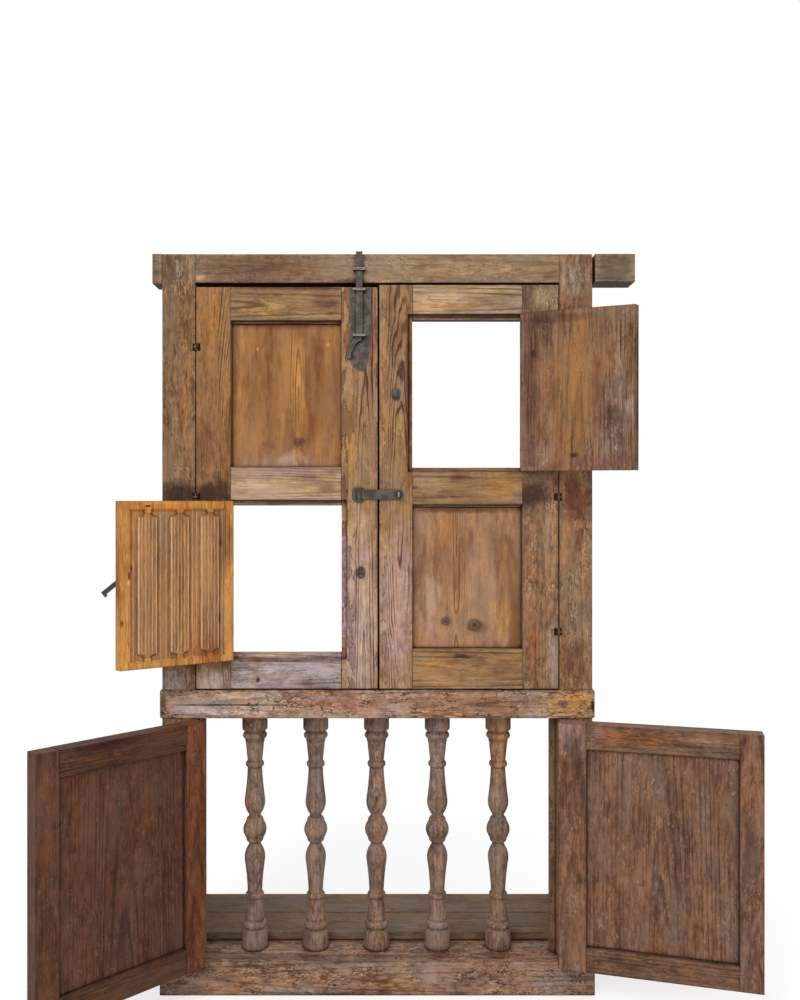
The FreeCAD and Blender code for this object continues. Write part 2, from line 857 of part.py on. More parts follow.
def hasp():
    """The strap with its rolled knuckle, lying shut over the right door's eye."""
    low, high = around(hasp_z, hasp_height)
    knuckle = rod(hasp_knuckle, low, high, hasp_x, hasp_axis_y)
    back = hasp_axis_y + hasp_knuckle
    strap = box((hasp_x, hasp_x + hasp_length / 2), (back - hasp_thickness, back), (low, high))
    x = hasp_x + hasp_corner, hasp_x + hasp_length
    end = plate(clipped(x, (low, high), hasp_corner), back - hasp_thickness, back)
    slot_x = hasp_x + hasp_length - hasp_slot_from_end
    slot = box(
        around(slot_x, hasp_slot_width), (back - hasp_thickness - overrun, back + overrun),
        around(hasp_z, hasp_slot_height),
    )
    bore = rod(hasp_bore, low - overrun, high + overrun, hasp_x, hasp_axis_y)
    return cut(fuse(knuckle, strap, end), slot, bore)


def hasp_bracket():
    """The plate on the left door whose two ears hold the hasp's pin."""
    reach = hasp_height / 2 + hasp_ear_gap
    half = reach + hasp_ear
    span = hasp_z - half, hasp_z + half
    base = clipped(around(hasp_x, hasp_plate_width), span, hasp_corner)
    made = plate(base, -plate_thickness, 0)
    front = hasp_axis_y - hasp_knuckle
    for ends in ((span[0], hasp_z - reach), (hasp_z + reach, span[1])):
        ear = box(around(hasp_x, hasp_knuckle * 2), (front, -plate_thickness), ends)
        made = made.fuse(ear)
    return fuse(made, rod(pin_radius, *span, hasp_x, hasp_axis_y))


def hasp_eye():
    """The plate and standing eye on the right door that the hasp drops over."""
    x = hasp_x + hasp_length - hasp_slot_from_end
    span = around(hasp_z, hasp_eye_plate)
    base = plate(
        clipped(around(x, hasp_eye_plate), span, hasp_corner), -plate_thickness, 0
    )
    front = hasp_axis_y + hasp_knuckle - hasp_thickness
    tab = box(
        around(x, hasp_eye_thickness), (-hasp_eye_reach, -plate_thickness),
        around(hasp_z, hasp_eye_height),
    )
    start = Vector(
        x - hasp_eye_thickness / 2 - overrun, (front - hasp_eye_reach) / 2, hasp_z
    )
    hole = Part.makeCylinder(
        hasp_eye_hole, hasp_eye_thickness + overrun * 2, start, Vector(1, 0, 0)
    )
    return cut(fuse(base, tab), hole)


hook_back = -hook_stand_off
hook_front = hook_back - hook_thickness


def hook(length):
    """A hook in its own place, pivot at x = z = 0, reaching along +x, tip down."""
    ring = plate(flats(hook_ring_radius, eye_sides), hook_front, hook_back)
    half, tip = hook_width / 2, hook_tip_width / 2
    outline = [
        (0, -half), (length - tip, -half), (length - tip, half - hook_tip_length),
        (length + tip, half - hook_tip_length), (length + tip, half), (0, half),
    ]
    bore = Part.makeCylinder(
        hook_pivot_radius + running_clearance, hook_thickness + overrun * 2,
        Vector(0, hook_front - overrun, 0), Vector(0, 1, 0),
    )
    return cut(fuse(ring, plate(outline, hook_front, hook_back)), bore)


def hook_pivot(x, z):
    """The boss, pin and head that carry a hook on a wicket's outer face."""
    half = hook_rosette / 2
    base = plate(
        clipped((x - half, x + half), (z - half, z + half), half / 2),
        hook_back + hook_play, 0,
    )
    top = hook_front - hook_play
    pin = Part.makeCylinder(hook_pivot_radius, -top, Vector(x, top, z), Vector(0, 1, 0))
    head = plate(flats(hook_head_radius, eye_sides, x, z), top - hook_head_thickness, top)
    return fuse(base, pin, head)


def keeper(x, z):
    """A knobbed eye on a door's meeting stile, its ring lying level for the hook."""
    middle = (hook_front + hook_back) / 2
    ring_z = z - hook_width / 2 - hook_play - keeper_ring_height / 2
    span = around(ring_z, keeper_ring_height)
    ring = prism(keeper_ring_radius, *span, x, middle)
    stem = box(around(x, keeper_stem), (middle, 0), span)
    hole = prism(keeper_ring_hole, span[0] - overrun, span[1] + overrun, x, middle)
    knob = plate(
        clipped(
            around(x, keeper_knob_width), around(z, keeper_knob_height),
            keeper_knob_width / 3,
        ),
        -keeper_knob_thickness, 0,
    )
    return fuse(ring.fuse(stem).cut(hole), knob)


def build():
    half_opening = jamb - leaf_gap
    left = Door(
        -1, half_opening + meeting_offset - meeting_gap / 2, left_door_top_gap,
        (left_hinge_stile, left_meeting_stile),
        (left_top_rail, left_mid_rail, left_bottom_rail),
        left_lower_bay, left_rebate, True,
    )
    right = Door(
        1, half_opening - meeting_offset - meeting_gap / 2, right_door_top_gap,
        (right_hinge_stile, right_meeting_stile),
        (right_top_rail, right_mid_rail, right_bottom_rail),
        right_lower_bay, right_rebate, False,
    )
    parts = {}

    # frame
    parts["left_stile"] = stile(-1)
    parts["right_stile"] = stile(1)
    parts["lintel"] = lintel()
    low_pegs = baluster_pegs(bottom_rail_height - baluster_tenon_length, mid_rail_z)
    high_pegs = baluster_pegs(bottom_rail_height, mid_rail_z + baluster_tenon_length)
    parts["mid_rail"] = lapped_rail(mid_rail_z, upper_z, high_pegs)
    parts["bottom_rail"] = lapped_rail(0, bottom_rail_height, low_pegs)
    stop_y = stop_front, stile_depth
    stops = []
    for side in (-1, 1):
        x = sorted((side * jamb, side * (jamb - stop_width)))
        stops.append(box(x, stop_y, (bottom_rail_height, mid_rail_z)))
        stops.append(box(x, stop_y, (upper_z, lintel_z)))
    inner = jamb - stop_width
    stops.append(box((-inner, inner), stop_y, (lintel_z - stop_width, lintel_z)))
    parts["stop_strips"] = solids(stops)
    parts["centre_post"] = box(
        around(meeting_offset, centre_post_width), stop_y, (upper_z, lintel_z - stop_width)
    )
    parts["frame_eyes"] = solids(frame_eyes)
    one = baluster()
    parts["balusters"] = solids(
        moved(one, x, baluster_centre, bottom_rail_height) for x in baluster_places()
    )

    # carcase
    back_rails = [
        back_rail(side_top - back_top_rail_height, side_top),
        back_rail(upper_z - mid_rail_height, upper_z - mid_rail_height + back_mid_rail_height),
        back_rail(bottom_rail_height - back_bottom_rail_height, bottom_rail_height),
    ]
    parts["back_rails"] = solids(back_rails)
    for side, name in ((-1, "left"), (1, "right")):
        parts[name + "_side_boards"] = side_boards(side)
        parts[name + "_back_post"] = back_post(side, back_rails)
    parts["top_boards"] = boards(
        (-half_width, half_width), (stile_depth, cabinet_depth),
        (side_top, side_top + top_board_thickness),
    )
    span = -side_inner, side_inner
    for name, top, front in (
        ("lower_floor_boards", bottom_rail_height + floor_thickness, rail_back),
        ("mid_floor_boards", mid_floor_height, rail_back),
        ("shelf_boards", shelf_height, shelf_front),
    ):
        parts[name] = boards(span, (front, post_front), (top - floor_thickness, top))
    parts["floor_cleats"] = solids(cleats())

    # upper doors and their wickets
    for door, name, inset, leaning, angle, rest, keeper_x, keeper_rise in (
        (left, "left", left_wicket_hinge_inset, 0, left_wicket_open, left_hook_rest,
         left_keeper_x, left_keeper_rise),
        (right, "right", right_wicket_hinge_inset, right_wicket_lean, right_wicket_open,
         right_hook_rest, right_keeper_x, right_keeper_rise),
    ):
        knob = keeper_x, door.wicket_bay[0] + keeper_rise
        for piece, shape in door.pieces(inset, leaning).items():
            parts[name + "_door_" + piece] = shape
        along, height = door.wicket_size()
        board, links = door.wicket(inset, leaning)
        if name == "left":
            board = carve_linenfold(board, along, height)
        pivot_x, pivot_z = along[1] - hook_pivot_inset, knob[1]
        reach = door.wicket_axis_x() - abs(knob[0]) - pivot_x
        swing = turned(hook(reach), rest, Vector(0, 0, 0), Vector(0, 1, 0))
        swing = moved(swing, pivot_x, 0, pivot_z)
        place = (door.side, door.wicket_axis_x(), angle, leaning, door.wicket_bay[0])
        parts[name + "_wicket_board"] = set_leaf(board, *place)
        parts[name + "_wicket_links"] = set_leaf(links, *place)
        parts[name + "_hook_pivot"] = set_leaf(hook_pivot(pivot_x, pivot_z), *place)
        parts[name + "_hook"] = set_leaf(swing, *place)
        parts[name + "_keeper"] = keeper(*knob)

    # slide bolt and hasp
    upper_staple = lintel_z - left_door_top_gap - upper_staple_drop
    lower_staple = bolt_top - bolt_length + lower_staple_rise
    parts["bolt_plate"] = bolt_plate()
    parts["bolt_staples"] = solids([
        bolt_staple(upper_staple, -plate_thickness),
        bolt_staple(lower_staple, -plate_thickness),
    ])
    parts["lintel_staple"] = bolt_staple(lintel_staple_z, 0)
    parts["bolt_bar"] = bolt_bar()
    parts["hasp_bracket"] = hasp_bracket()
    parts["hasp"] = hasp()
    parts["hasp_eye"] = hasp_eye()

    # lower doors
    for side, name, angle in ((-1, "left", left_lower_open), (1, "right", right_lower_open)):
        for piece, shape in lower_door(side).items():
            parts["lower_" + name + "_" + piece] = set_leaf(shape, side, hinge_x, angle)
    return parts


os.makedirs("parts", exist_ok=True)
for node, made in build().items():
    made.exportStep("parts/" + node + ".step")
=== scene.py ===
import json
import math

import bpy
from mathutils import Matrix, Vector


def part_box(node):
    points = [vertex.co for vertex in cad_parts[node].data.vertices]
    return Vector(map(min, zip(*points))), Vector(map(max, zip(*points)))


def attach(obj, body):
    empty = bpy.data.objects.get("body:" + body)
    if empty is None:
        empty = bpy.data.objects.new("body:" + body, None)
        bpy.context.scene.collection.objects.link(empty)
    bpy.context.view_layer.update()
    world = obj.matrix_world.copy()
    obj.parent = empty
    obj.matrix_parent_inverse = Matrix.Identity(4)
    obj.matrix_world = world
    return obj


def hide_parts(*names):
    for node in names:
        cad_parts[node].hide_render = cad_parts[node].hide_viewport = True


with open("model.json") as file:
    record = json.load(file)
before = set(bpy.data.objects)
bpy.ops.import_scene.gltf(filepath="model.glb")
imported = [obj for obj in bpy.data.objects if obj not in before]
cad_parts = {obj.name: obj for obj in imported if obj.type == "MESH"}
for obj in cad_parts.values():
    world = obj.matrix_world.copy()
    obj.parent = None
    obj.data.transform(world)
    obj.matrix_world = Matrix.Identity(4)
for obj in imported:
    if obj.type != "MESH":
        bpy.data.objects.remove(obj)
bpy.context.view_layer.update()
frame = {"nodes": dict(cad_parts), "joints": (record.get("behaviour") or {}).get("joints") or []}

# The camera's place and lens, and the photograph's focal length and axis in its pixels
EYE = Vector((0.01425, -2.35, 1.2375))
LENS = 33.84
SENSOR = 36.0
CENTRE_SHIFT = 0.017
FOCAL_PIXELS = 940.0
AXIS_PIXEL = (383.0, 500.0)

# The lamps: place, target, width, height and watts
LAMPS = {
    "key": ((-1.6, -3.4, 3.2), (0, 0, 1.1), 2.4, 2.0, 76),
    "fill": ((2.6, -3.0, 1.6), (0, 0, 1.1), 2.2, 2.2, 30),
    "back": ((0.5, 3.0, 3.0), (0, 0, 1.0), 2.5, 1.5, 24),
}
WORLD_LIGHT = 0.48
FLOOR_REACH = 30.0
FLOOR_GREY = 0.62
FLOOR_GLOW = 0.60
WHITE_RANGE = (1.0, 2.6)  # how far out the floor turns to plain white
WHITE = (1, 1, 1, 1)

# The balusters' profile: share of the half height from the collar down, share of the radius
COLLAR_SHARES = [
    (0.0, 0.98), (0.006, 1.0), (0.138, 1.0), (0.148, 0.985), (0.158, 0.9), (0.165, 0.815),
    (0.171, 0.79), (0.176, 0.81), (0.181, 0.875), (0.19, 0.93), (0.201, 0.955), (0.211, 0.94),
    (0.222, 0.87), (0.231, 0.79), (0.239, 0.745), (0.243, 0.765), (0.25, 0.765), (0.254, 0.735),
    (0.262, 0.72),
]
SHAFT_SHARES = [
    (0.3, 0.69), (0.34, 0.65), (0.39, 0.6), (0.415, 0.58), (0.421, 0.6), (0.426, 0.66),
    (0.435, 0.71), (0.445, 0.72), (0.455, 0.71), (0.465, 0.65), (0.471, 0.58), (0.478, 0.57),
    (0.54, 0.6), (0.62, 0.66), (0.7, 0.75), (0.75, 0.81), (0.775, 0.815), (0.8, 0.78),
    (0.83, 0.69), (0.85, 0.6), (0.868, 0.49), (0.88, 0.46), (0.888, 0.47), (0.896, 0.56),
    (0.905, 0.64), (0.915, 0.67), (0.925, 0.68), (0.935, 0.72), (0.95, 0.8), (0.975, 0.89),
    (1.0, 0.92),
]
BALUSTER_RADIUS = 0.0325
BALUSTER_PITCH = 0.157
BALUSTER_COUNT = 5
BALUSTER_SIDES = 40

# The carved wicket: margins round its sunk field at hinge, free edge, bottom and top, metres
FOLD_MARGINS = (0.0205, 0.0215, 0.0145, 0.0185)
FOLD_GROUND = 0.0044
FOLD_END_GAP = 0.002
FOLD_POINT = 0.019  # how far from its end a fold is at its full width
SUNK_STEP = 0.007
RIM_DEPTH = 0.0012
RIM_WIDTH = 0.003
WICKET_BEVEL = 0.005
CARVING_GRID = (300, 240)
OUTER_GOLD = 0.3  # how golden the wicket's outer face is
SMOOTH_AREA = 0.00001  # faces of the board above this size stay flat

# The folds across the field, as shares of its width, and of a fold's half width
FOLD_CENTRES = (0.185, 0.515, 0.832)
FOLD_HALF = 0.098
FOLD_NECK = 0.30
FOLD_BODY = 0.70
RIDGE_WIDTH = 0.065
GROOVE_WIDTH = 0.06
GROOVE_OFFSET = 0.13

# Each pleat: its place across a fold, -1 to 1, and how strong its ridge and its groove are
PLEATS = (
    (-1.42, 0.50, 0.30), (-0.56, 0.55, 0.55), (-0.20, 0.80, 0.40), (0.14, 0.50, 0.70),
    (0.50, 0.75, 0.60), (1.36, 0.60, 0.40), (1.75, 0.40, 0.35),
)

# Worn edges: how wide they are on most boards, on iron, and where they differ from the rest
BOARD_WEAR = 0.0022
IRON_WEAR = 0.0005
WEAR = {
    "lintel": 0.006, "mid_rail": 0.004, "right_wicket_board": 0.005, "left_stile": 0.003,
    "right_stile": 0.003,
}
WELD_REACH = 0.00001
FLAT_DEGREES = 0.5
SHARP_DEGREES = 40


def srgb(red, green, blue):
    """A colour as it reads on screen, 0 to 255, in the shaders' linear values."""
    def linear(value):
        value /= 255
        return value / 12.92 if value <= 0.04045 else ((value + 0.055) / 1.055) ** 2.4
    return linear(red), linear(green), linear(blue), 1.0


# Colours of wear and dirt on the wood, and of painted shade and painted highlight
CRACK = srgb(44, 29, 20)
KNOT = srgb(72, 46, 38)
SPECK = srgb(214, 196, 170)
WAX_EDGE = srgb(206, 176, 146)
# painted shade in crevices and on faces that look down
CREVICE_SHADE = srgb(96, 72, 58)
EDGE_DIRT = srgb(98, 76, 62)
# painted shade in the carved grooves, with dirt
GROOVE_DIRT_AND_SHADE = srgb(104, 64, 36)
# painted highlight on the carved ridges, with rubbed wear
RIDGE_WEAR_AND_HIGHLIGHT = srgb(255, 220, 172)

# What the drifting hue and the carved wicket's golden margin multiply the wood by
WARM_HUE = (1.12, 0.98, 0.76, 1)
COOL_HUE = (0.90, 0.98, 1.22, 1)
GOLDEN = (1.50, 1.50, 1.02, 1)

# Colours of the iron
IRON_DARK = srgb(70, 65, 60)
IRON_LIGHT = srgb(106, 99, 91)
IRON_GRAIN = srgb(46, 41, 38)
IRON_RUST = srgb(92, 66, 50)
# painted highlight with wear along the iron's edges
IRON_EDGE_WEAR_AND_HIGHLIGHT = srgb(196, 184, 170)
IRON_BROWN = srgb(104, 74, 48)

# What the timber takes in, and its defaults; its colours are on screen, 0 to 255
TIMBER_INPUTS = {
    "Light": (170, 120, 75),  # early wood
    "Dark": (105, 66, 38),  # the darker bands and patches
    "Line": (70, 42, 26),  # late wood's thin lines
    "Stain": (80, 48, 38),  # flames of old stain
    "Grey": (150, 135, 120),  # weathered patches
    "Seed": 0.0,
    "Rings": 100.0,  # grain lines per metre
    "Lines": 0.3,  # how strong they are
    "Zone": 1.0,  # where they show
    "Heart": 0.0,  # the pith's place across the board
    "Pith": 0.04,  # how far behind the face it lies
    "Tilt": 0.04,  # how fast it leans out of the board
    "Warp": 0.012,
    "Shiver": 0.005,  # how far the lines tremble
    "Bands": 0.5,
    "Mottle": 0.7,
    "Fibre": 0.5,
    "Threads": 0.3,
    "Hue": 0.5,
    "Flames": 0.0,
    "Weather": 0.5,
    "Cracks": 0.4,
    "Craze": 0.0,
    "Squiggle": 0.0,  # thin wavy lines with a pale edge
    "Specks": 0.1,
}

# Noise that several parts of the timber share: scale, detail, roughness, stretch along
SHARED_NOISE = {
    "fine": (560.0, 2.0, 0.6, 0.05), "coarse": (210.0, 3.0, 0.65, 0.14),
    "board": (14.0, 2.0, 0.5, 0.3), "cloud": (64.0, 4.0, 0.75, 0.5),
}

# How far a seed moves a board's noise along each axis
SEED_STEPS = (3.13, 1.37, 1.71)

# Numbers that all the wood or all the materials share
BUMP = 0.6
SPECULAR = 0.3
MARK_SHRINK_Y = 8.0

# Looks of the timber: the group's inputs that differ from its defaults
LOOKS = {
    "frame": dict(Light=(168, 124, 86), Dark=(98, 68, 46), Line=(60, 40, 28), Grey=(150, 128, 106),
        Cracks=0.8, Craze=0.3, Squiggle=0.7, Mottle=1.1, Specks=0.15, Threads=0.2),
    "lintel": dict(Light=(172, 143, 112), Dark=(122, 94, 68), Line=(84, 60, 42), Grey=(150, 128, 104),
        Cracks=0.6, Craze=0.2, Squiggle=0.5, Mottle=0.8, Specks=0.2, Tilt=0.02, Pith=0.06),
    "mid_rail": dict(Light=(186, 146, 116), Dark=(118, 80, 58), Line=(70, 42, 32), Grey=(176, 156, 142),
        Stain=(126, 78, 56), Weather=0.6, Cracks=1.0, Craze=0.8, Squiggle=1.3, Flames=0.2, Mottle=1.6,
        Hue=0.9, Specks=0.5, Lines=0.6),
    "turned": dict(Light=(158, 126, 104), Dark=(88, 62, 48), Line=(46, 32, 26), Grey=(142, 126, 112),
        Weather=0.4, Cracks=0.6, Craze=0.2, Squiggle=0.4, Mottle=1.1, Hue=0.9, Specks=0.2),
    "door": dict(Light=(176, 130, 82), Dark=(114, 78, 48), Line=(72, 44, 26), Grey=(162, 130, 100),
        Weather=0.35, Lines=0.8, Threads=0.2, Squiggle=0.3),
    "door_pale": dict(Light=(204, 172, 138), Dark=(148, 112, 84), Line=(104, 72, 52),
        Grey=(184, 156, 142), Rings=150.0, Lines=0.8, Hue=0.7),
    "door_yellow": dict(Light=(200, 168, 124), Dark=(142, 108, 76), Line=(100, 66, 42),
        Grey=(178, 150, 120), Rings=120.0, Weather=0.4, Lines=1.1, Hue=0.7),
    "door_flame": dict(Light=(200, 158, 112), Dark=(148, 108, 74), Line=(88, 54, 38),
        Grey=(182, 150, 124), Stain=(132, 94, 80), Rings=155.0, Flames=0.55, Weather=0.35, Cracks=0.5,
        Lines=1.7, Mottle=0.6, Tilt=-0.07, Pith=0.018, Warp=0.022, Shiver=0.016, Specks=0.3, Threads=0.25,
        Squiggle=0.35),
    "door_bottom": dict(Light=(188, 166, 158), Dark=(120, 96, 88), Line=(80, 58, 52),
        Grey=(186, 174, 178), Rings=120.0, Weather=0.7, Cracks=0.8, Craze=0.4, Squiggle=0.6, Lines=0.6,
        Mottle=1.1, Hue=0.8, Specks=0.3, Threads=0.4),
    "panel": dict(Light=(178, 127, 76), Dark=(132, 84, 44), Line=(92, 54, 28), Grey=(180, 138, 98),
        Rings=170.0, Weather=0.35, Cracks=0.15, Lines=1.5, Mottle=0.4, Bands=0.9, Fibre=0.25, Tilt=0.05,
        Pith=0.008, Warp=0.003, Threads=0.15),
    "panel_pale": dict(Light=(186, 142, 102), Dark=(138, 96, 64), Line=(104, 66, 42),
        Grey=(180, 142, 118), Rings=170.0, Weather=0.45, Cracks=0.25, Lines=0.9, Bands=0.9, Fibre=0.3,
        Tilt=0.03, Pith=0.01, Warp=0.004, Threads=0.15, Squiggle=0.25),
    "red": dict(Light=(164, 118, 80), Dark=(92, 58, 42), Line=(56, 34, 26), Grey=(160, 132, 106),
        Stain=(84, 54, 48), Rings=130.0, Flames=0.15, Weather=0.4, Cracks=0.7, Craze=0.2, Bands=0.9,
        Mottle=0.6, Lines=0.4, Hue=0.7, Threads=1.0, Tilt=0.01, Pith=0.03, Squiggle=0.35),
    "lower": dict(Light=(158, 114, 84), Dark=(94, 58, 42), Line=(48, 28, 22), Grey=(150, 126, 110),
        Stain=(70, 42, 36), Rings=110.0, Flames=0.3, Weather=0.4, Cracks=0.7, Craze=0.3, Mottle=0.9,
        Hue=0.8, Threads=0.6, Specks=0.3, Squiggle=0.4, Lines=0.6),
    "carcase": dict(Light=(150, 116, 84), Dark=(98, 72, 50), Line=(66, 46, 32), Grey=(138, 126, 112),
        Rings=120.0, Weather=0.6, Cracks=0.7, Squiggle=0.3, Lines=0.6),
    "carved": dict(Light=(202, 142, 79), Dark=(146, 93, 50), Line=(84, 50, 30), Grey=(176, 132, 92),
        Rings=140.0, Cracks=0.5, Bands=0.8, Mottle=0.5, Threads=0.8),
}

# How some boards' colour departs from their look, as shares of red, green and blue
TONES = {
    "mid_rail": (1.12, 1.13, 1.12), "left_door_top_rail": (0.98, 1.03, 1.08),
    "left_door_bottom_rail": (1.07, 1.07, 1.06), "right_door_bottom_rail": (1.05, 1.08, 1.1),
    "left_door_hinge_stile": (0.96, 0.94, 0.9), "left_door_meeting_stile": (0.94, 0.93, 0.9),
    "right_door_meeting_stile": (0.93, 0.92, 0.89), "balusters": (1.1, 1.12, 1.14),
    "lower_right_rails": (0.92, 0.93, 0.91), "right_wicket_board": (0.96, 0.97, 0.98),
    "lower_left_rails": (0.7, 0.63, 0.54), "lower_left_free_stile": (0.76, 0.66, 0.6),
    "lower_left_hinge_stile": (0.9, 0.74, 0.62), "lower_left_panel": (0.76, 0.68, 0.64),
    "left_stile": (0.975, 0.975, 0.93), "right_stile": (1.03, 1.02, 1.0),
    "left_door_panel": (0.98, 0.98, 0.98), "right_door_top_rail": (1.0, 1.01, 1.09),
    "right_door_mid_rail": (1.0, 1.03, 1.06),
}

# Boards whose rings are placed: inputs that override their look
PLACED = {
    "left_door_panel": dict(Heart=0.03, Pith=0.008, Tilt=0.06),
    "right_door_panel": dict(Heart=-0.026, Pith=0.01, Tilt=-0.02),
    "left_door_hinge_stile": dict(Heart=0.085, Pith=0.03, Tilt=0.12, Rings=170.0, Lines=1.3),
    "left_door_meeting_stile": dict(Heart=0.012, Tilt=-0.025, Pith=0.012, Flames=0.85),
    "right_door_meeting_stile": dict(Heart=0.014),
}

# Where the ring lines of some boards show: centre across the board and half width
ZONES = {
    "left_door_panel": (0.03, 0.02), "right_door_panel": (-0.026, 0.024),
    "left_door_hinge_stile": (0.03, 0.018), "left_door_meeting_stile": (0.014, 0.024),
    "right_door_meeting_stile": (0.008, 0.028),
}

# Each wooden node: its look, the axis its grain runs along, and a seed
WOOD = {
    "left_stile": ("frame", "z", 1), "right_stile": ("frame", "z", 2), "lintel": ("lintel", "x", 3),
    "mid_rail": ("mid_rail", "x", 4), "bottom_rail": ("mid_rail", "x", 5), "stop_strips": ("frame", "z", 6),
    "centre_post": ("frame", "z", 7), "back_rails": ("carcase", "x", 8),
    "left_side_boards": ("carcase", "z", 9), "right_side_boards": ("carcase", "z", 10),
    "left_back_post": ("carcase", "z", 11), "right_back_post": ("carcase", "z", 12),
    "top_boards": ("carcase", "x", 13), "lower_floor_boards": ("carcase", "x", 14),
    "mid_floor_boards": ("carcase", "x", 15), "shelf_boards": ("carcase", "x", 16),
    "floor_cleats": ("carcase", "y", 17),
    "left_door_bottom_rail": ("door_bottom", "x", 18), "left_door_mid_rail": ("door_pale", "x", 19),
    "left_door_top_rail": ("door", "x", 20), "left_door_hinge_stile": ("door", "z", 21),
    "left_door_meeting_stile": ("door_flame", "z", 22), "left_door_panel": ("panel", "z", 23),
    "right_door_bottom_rail": ("door", "x", 24), "right_door_mid_rail": ("door", "x", 25),
    "right_door_top_rail": ("door_yellow", "x", 26), "right_door_hinge_stile": ("frame", "z", 27),
    "right_door_meeting_stile": ("door_flame", "z", 28), "right_door_panel": ("panel_pale", "z", 29),
    "right_wicket_board": ("red", "z", 30), "left_wicket_board": ("carved", "z", 31),
    "balusters": ("turned", "z", 40),
}

# Wooden nodes that a finer piece stands for
REPLACED = ("balusters", "left_wicket_board")

# Nodes not named above are iron: those whose edges get the strongest painted highlight, with the wear of the
# sliding bar and the hasp, and those that are brown all over
RUBBED_AND_HIGHLIT = ("lintel_staple", "bolt_staples", "hasp_eye")
RUSTED = ("frame_eyes", "left_door_hinge_irons", "right_door_hinge_irons")

# Boards of the leaves that stand open: how far each has turned about Z, degrees
OPEN_LEAVES = {"left_wicket_board": -148.2, "right_wicket_board": 156.5}

# The boards of the lower doors, alike left and right, with the axis of their grain
for side, degrees, seed in (("left", -136.0, 32), ("right", 165.0, 36)):
    for part, grain in (("hinge_stile", "z"), ("free_stile", "z"), ("rails", "x"), ("panel", "z")):
        WOOD["lower_" + side + "_" + part] = ("lower", grain, seed)
        OPEN_LEAVES["lower_" + side + "_" + part] = degrees
        seed += 1

# Knots by node: the photograph's pixel, and the half width and height in its pixels
KNOTS = {
    "left_door_panel": [(299.5, 442, 4.5, 3.4)],
    "right_door_panel": [(445.5, 621.5, 3.6, 3.4), (474.5, 625, 5.8, 5.2)],
    "mid_rail": [(563, 704, 4.0, 3.0)],
}
